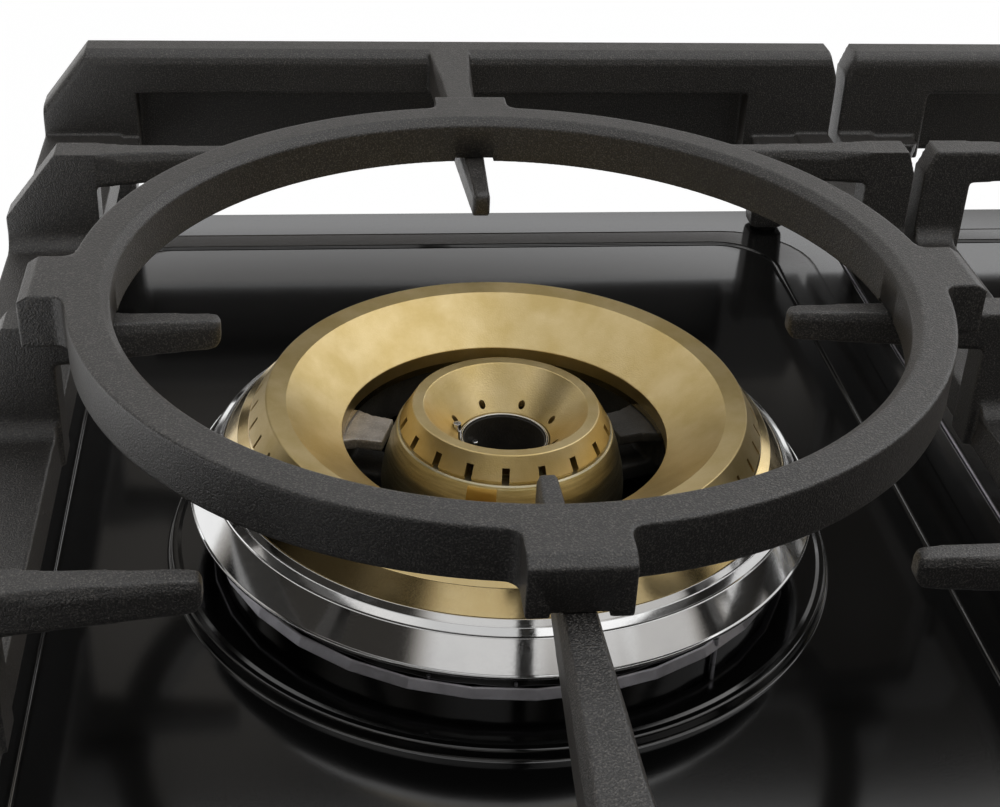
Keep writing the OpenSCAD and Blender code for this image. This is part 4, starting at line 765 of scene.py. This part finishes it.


# Dark cast head: ring, hub, gas tubes and the two arms that carry the inner burner. An arm is its angle and its finish;
# the left one's finish is a lighter copy of the casting, a painted highlight on its lit top. A tube is its place and
# its top.
headFacts = {"ring": [(47, 15, 0), (75, 15, 0), (75, 27, 0), (71.7, 27, 0), (71.7, 28.5, 0), (47, 28.5, 0)],
             "hub": [(12.7, 10, 0), (34, 10, 0), (34, 17, 0), (12.7, 17, 0)],
             "armPlan": ((33.2, -6.2), (40, -6.6), (44, -8.4), (48, -11.5), (48, 11.5), (44, 8.4), (40, 6.6),
                         (33.2, 6.2)),
             "arms": {"right": (18, "dark_casting"), "left": (162, "lit_arm_casting")}, "armLow": 24.7, "armHigh": 28,
             "spokes": (((32, -6, 12), (49, 6, 17)), ((44, -6, 12), (48, 6, 28))),
             "tubes": ((22, 0, 10.5), (50, 29, 15.5)), "armSkin": (0.5, 1, 0.5), "skin": (0.7, 1, 0.4)}


def makeWokHead(f):
    bm = bmesh.new()
    turnProfile(bm, softLine(f["ring"]), 120)
    turnProfile(bm, softLine(f["hub"]), 120)
    for turnBy, _ in f["arms"].values():
        for low, high in f["spokes"]:
            block(bm, low, high, turnBy)
    for side, (turnBy, finish) in f["arms"].items():
        arm = bmesh.new()
        prism(arm, "z", f["armPlan"], f["armLow"], f["armHigh"], turnBy)
        shape = makeObject("wok_head_arm_" + side, arm, wokPlace)
        castSkin(shape, *f["armSkin"])
        dress(shape, "wok_burner", "dark_casting", sharp=0, weighted=False)
        # the left arm takes the lighter copy of the casting, a painted highlight on its lit top
        shape.data.materials[0] = finishes[finish]
    for x, y, top in f["tubes"]:
        turnProfile(bm, softLine([(6, 4, 0), (7.5, 4, 0), (7.5, top, 0), (6, top, 0)]), 48, at=(x, y))
    head = makeObject("wok_head_casting", bm, wokPlace)
    castSkin(head, *f["skin"])
    dress(head, "wok_burner", "dark_casting", ["wok_head"], sharp=0, weighted=False)


makeWokHead(headFacts)
print("wok burner turned")


# small burners: a slotted brass head under a dished brass cap

for name, facts in smallBurners.items():
    r = facts["radius"]
    bore = (r - 12) / 2
    place = (*facts["at"], rimHeight)
    makeTurned(name + "_head_brass",
               [(bore, 10.5, 0), (r - 6.3, 10.5, 0.3), (r - 6.3, 16.5, 0), (r, 16.5, 0.8), (r, 28.5, 0.4),
                (r - 5, 28.5, 0.2), (r - 5, 19, 0.5), (bore, 19, 0.3)], name + "_head", "satin_brass", [name + "_head"],
               place, 144, [(24, 0, bore - 1, r + 1, 1.6, 24.5, 29.5)])
    makeTurned(name + "_cap_brass",
               [(0, 26.5, 0), (r - 5.3, 26.5, 0.2), (r - 5.3, 28.5, 0), (r + 1, 28.5, 0.25), (r + 1, 29.5, 0.5),
                (r - 1.5, 35.5, 1.2), (r - 4.5, 35.5, 0.8), (bore, 32, 2), (0, 32, 0)],
               name + "_cap", "satin_brass", [name + "_cap"], place, 144)
print("small burners turned")


# electrodes beside the burners; the wok burner's stands low in its bore

electrodeFacts = {
    "away": 5.6, "angle": 150,
    "profile": [(0, -14, 0), (2.6, -14, 0.2), (2.6, 17, 0.3), (2.2, 19, 0.6), (0.8, 19, 0), (0.8, 25, 0.4), (0, 25, 0)],
    "wokAcross": 10.2, "wokAngle": 136, "wokProfile": [(0, -8, 0), (1.1, -8, 0), (1.1, 26, 0.4), (0, 26, 0)],
}
bm = bmesh.new()
for facts in smallBurners.values():
    x, y = onCircle(facts["radius"] + electrodeFacts["away"], electrodeFacts["angle"])
    turnProfile(bm, softLine(electrodeFacts["profile"]), 32, at=(facts["at"][0] + x, facts["at"][1] + y))
x, y = onCircle(electrodeFacts["wokAcross"], electrodeFacts["wokAngle"])
turnProfile(bm, softLine(electrodeFacts["wokProfile"]), 24, at=(sectionX["left"] + x, burnerY + y))
dress(makeObject("igniter_rods", bm), "base", "bright_steel", ["igniters"])
print("electrodes placed")


# knobs and bezels

knobNames = ("wok", "centre_rear", "centre_front", "right_rear", "right_front")
knobFacts = {
    "profile": [(3, 6, 0), (6, 6, 0.3), (6, 28, 0), (17, 28, 0), (18.5, 6, 0), (22.5, 6, 0.4), (22.5, 8, 0.8),
                (21, 10, 1.2), (19.5, 30.3, 1.2), (18.7, 31, 0.8), (0, 31, 0), (0, 20, 0), (3, 20, 0)],
    "groove": ((-1, 6.5, 30.2), (1, 22, 32)),
    "bezel": [(19, 0, 0), (26, 0, 0), (26, 0.9, 0.3), (25.2, 1.6, 0.4), (19, 1.6, 0.3)],
}
for name, x in zip(knobNames, panelFacts["knobX"]):
    bm = bmesh.new()
    turnProfile(bm, softLine(knobFacts["profile"]), 120)
    place = (x, panelFacts["knobY"], rimHeight)
    knob = makeObject(name + "_knob_grip", bm, place)
    tool = bmesh.new()
    block(tool, *knobFacts["groove"])
    carve(knob, makeObject("grooveTool", tool, place))
    dress(knob, name + "_turn", "knob_black", [name + "_knob"])
bm = bmesh.new()
for x in panelFacts["knobX"]:
    turnProfile(bm, softLine(knobFacts["bezel"]), 96, at=(x, panelFacts["knobY"]))
dress(makeObject("knob_bezel_rings", bm), "base", "satin_brass", ["knob_bezels"])
print("knobs turned")


# the rest of the CAD nodes keep their shape and get their finish

for row in frame["record"]["subparts"]:
    node = frame["nodes"][row["node"]]
    if not node.hide_render:
        node.data.materials.clear()
        node.data.materials.append(finishes[row["material_slot"]])
print("CAD nodes finished")


# studio: pale floor, white backdrop, soft lamps

studio = {
    "floorReach": 6, "floorTone": 0.8, "floorRough": 0.9, "fill": 0.022,
    # the floor's own light in reflections and to the camera, and the share of it that the camera sees
    "floorShine": 1.1, "floorSeen": 1.08, "seenShare": 0.9,
    # tint of the dim and of the bright reflections
    "dimTint": (1.0, 0.93, 0.84), "tint": (0.985, 0.99, 1.0), "tintFrom": (0.05, 0.9),
    "lamps": (
        {"name": "overheadLamp", "at": (-0.1, 0.22, 1.5), "to": (-0.1, 0.22, 0), "size": (2.4, 2.2), "watts": 11.2},
        {"name": "rightLamp", "at": (0.2, -0.2, 1.49), "to": (0.2, -0.2, 0), "size": (0.8, 0.9), "watts": 1.15},
    ),
    # soft bright panels that only reflections see: turn and height in degrees, inner and outer half-width, strength
    "panels": ((-100, 28, 14, 26, 0.72), (-62, 27, 6, 16, 0.7), (-38, 20, 8, 16, 0.6), (-7, 9, 5, 12, 0.75),
               (-20, 42, 7, 18, 0.7), (25, 38, 15, 28, 0.8), (44, 14, 8, 20, 0.6), (-56, 51, 6, 14, 0.35),
               (-150, 50, 10, 22, 0.35), (144, 46, 7, 18, 0.55), (130, 33, 5, 12, 0.4), (94, 38, 3, 8, 0.17),
               (-150, 20, 18, 40, 0.035)),
    # brightness of the backdrop behind the cooktop by the sine of the height
    "backdrop": ((0.0, 0.55), (0.37, 0.55), (0.42, 1.7), (0.44, 1.75), (0.453, 0.28), (0.47, 0.27), (0.488, 0.28),
                 (0.507, 0.05), (0.56, 0.03), (1.0, 0.03)),
    # the backdrop fades in over this share of the way back
    "behind": (0.28, 0.5),
}


# Strength of the backdrop from a table, by a chain of straight steps
def backdropNode(tree, up, table):
    total = None
    for (low, first), (high, second) in zip(table, table[1:]):
        step = addNode(tree, "MapRange",
                       {"Value": up, "From Min": low, "From Max": high, "To Min": 0.0, "To Max": second - first})
        step.clamp = True
        total = addNode(tree, "Math", {0: step.outputs["Result"], 1: total if total is not None else table[0][1]},
                        operation="ADD").outputs[0]
    return total


# 1 for the rays of a reflection, 0 for the others
def mirrorRays(tree, rays):
    return addNode(tree, "Math", {0: rays.outputs["Is Glossy Ray"], 1: rays.outputs["Is Transmission Ray"]},
                   operation="MAXIMUM").outputs[0]


def makeFloor(f):
    bm = bmesh.new()
    bmesh.ops.create_grid(bm, x_segments=8, y_segments=8, size=f["floorReach"])
    mesh = bpy.data.meshes.new("floor")
    bm.to_mesh(mesh)
    bm.free()
    floor = bpy.data.objects.new("floor", mesh)
    bpy.context.scene.collection.objects.link(floor)
    paint = bpy.data.materials.new("paleFloor")
    paint.use_nodes = True
    tree = paint.node_tree
    matt = tree.nodes["Principled BSDF"]
    matt.inputs["Base Color"].default_value = (f["floorTone"],) * 3 + (1,)
    matt.inputs["Roughness"].default_value = f["floorRough"]
    rays = addNode(tree, "LightPath")
    seen = addNode(tree, "Emission", {"Strength": f["floorSeen"]})
    shine = addNode(tree, "Emission", {"Strength": f["floorShine"]})
    seenShare = addNode(tree, "Math", {0: rays.outputs["Is Camera Ray"], 1: f["seenShare"]}, operation="MULTIPLY")
    mixed = addNode(tree, "MixShader", {0: mirrorRays(tree, rays), 1: matt.outputs[0], 2: shine.outputs[0]})
    mixed = addNode(tree, "MixShader", {0: seenShare.outputs[0], 1: mixed.outputs[0], 2: seen.outputs[0]})
    tree.links.new(mixed.outputs[0], tree.nodes["Material Output"].inputs["Surface"])
    mesh.materials.append(paint)


# The world is white to the camera; reflections see a bright backdrop under a dark ceiling, and soft panels
def makeWorld(f):
    world = bpy.data.worlds.new("studioWorld")
    world.use_nodes = True
    bpy.context.scene.world = world
    tree = world.node_tree
    rays = addNode(tree, "LightPath")
    way = addNode(tree, "TexCoord").outputs["Generated"]
    parts = addNode(tree, "SeparateXYZ", {0: way})
    backdrop = backdropNode(tree, parts.outputs["Z"], f["backdrop"])
    low, high = f["behind"]
    behind = addNode(tree, "MapRange",
                     {"Value": parts.outputs["Y"], "From Min": low, "From Max": high, "To Min": 0.0, "To Max": 1.0},
                     interpolation_type="SMOOTHSTEP")
    total = addNode(tree, "Math", {0: backdrop, 1: behind.outputs["Result"]}, operation="MULTIPLY").outputs[0]
    for turn, height, inner, outer, strength in f["panels"]:
        a, b = math.radians(turn), math.radians(height)
        aim = (math.cos(a) * math.cos(b), math.sin(a) * math.cos(b), math.sin(b))
        near = addNode(tree, "VectorMath", {0: way, 1: aim}, operation="DOT_PRODUCT")
        glow = addNode(tree, "MapRange",
                       {"Value": near.outputs["Value"], "From Min": math.cos(math.radians(outer)),
                        "From Max": math.cos(math.radians(inner)), "To Min": 0.0, "To Max": strength},
                       interpolation_type="SMOOTHSTEP")
        total = addNode(tree, "Math", {0: total, 1: glow.outputs["Result"]}, operation="ADD").outputs[0]
    tintShare = rampNode(tree, total, *f["tintFrom"], 0, 1).outputs["Result"]
    mirror = addNode(tree, "Background",
                     {"Color": mixColour(tree, tintShare, f["dimTint"], f["tint"]), "Strength": total})
    fill = addNode(tree, "Background", {"Strength": f["fill"]})
    white = addNode(tree, "Background", {"Strength": 1.0})
    lit = addNode(tree, "MixShader", {0: mirrorRays(tree, rays), 1: fill.outputs[0], 2: mirror.outputs[0]})
    full = addNode(tree, "MixShader", {0: rays.outputs["Is Camera Ray"], 1: lit.outputs[0], 2: white.outputs[0]})
    tree.links.new(full.outputs[0], tree.nodes["World Output"].inputs["Surface"])


def makeLamps(lamps):
    for lamp in lamps:
        data = bpy.data.lights.new(lamp["name"], "AREA")
        data.shape = "RECTANGLE"
        data.size, data.size_y = lamp["size"]
        data.energy = lamp["watts"]
        holder = bpy.data.objects.new(lamp["name"], data)
        bpy.context.scene.collection.objects.link(holder)
        holder.location = lamp["at"]
        holder.rotation_euler = (Vector(lamp["to"]) - Vector(lamp["at"])).to_track_quat("-Z", "Y").to_euler()


makeFloor(studio)
makeWorld(studio)
makeLamps(studio["lamps"])
bpy.context.scene.view_settings.view_transform = "Standard"
print("studio lit")
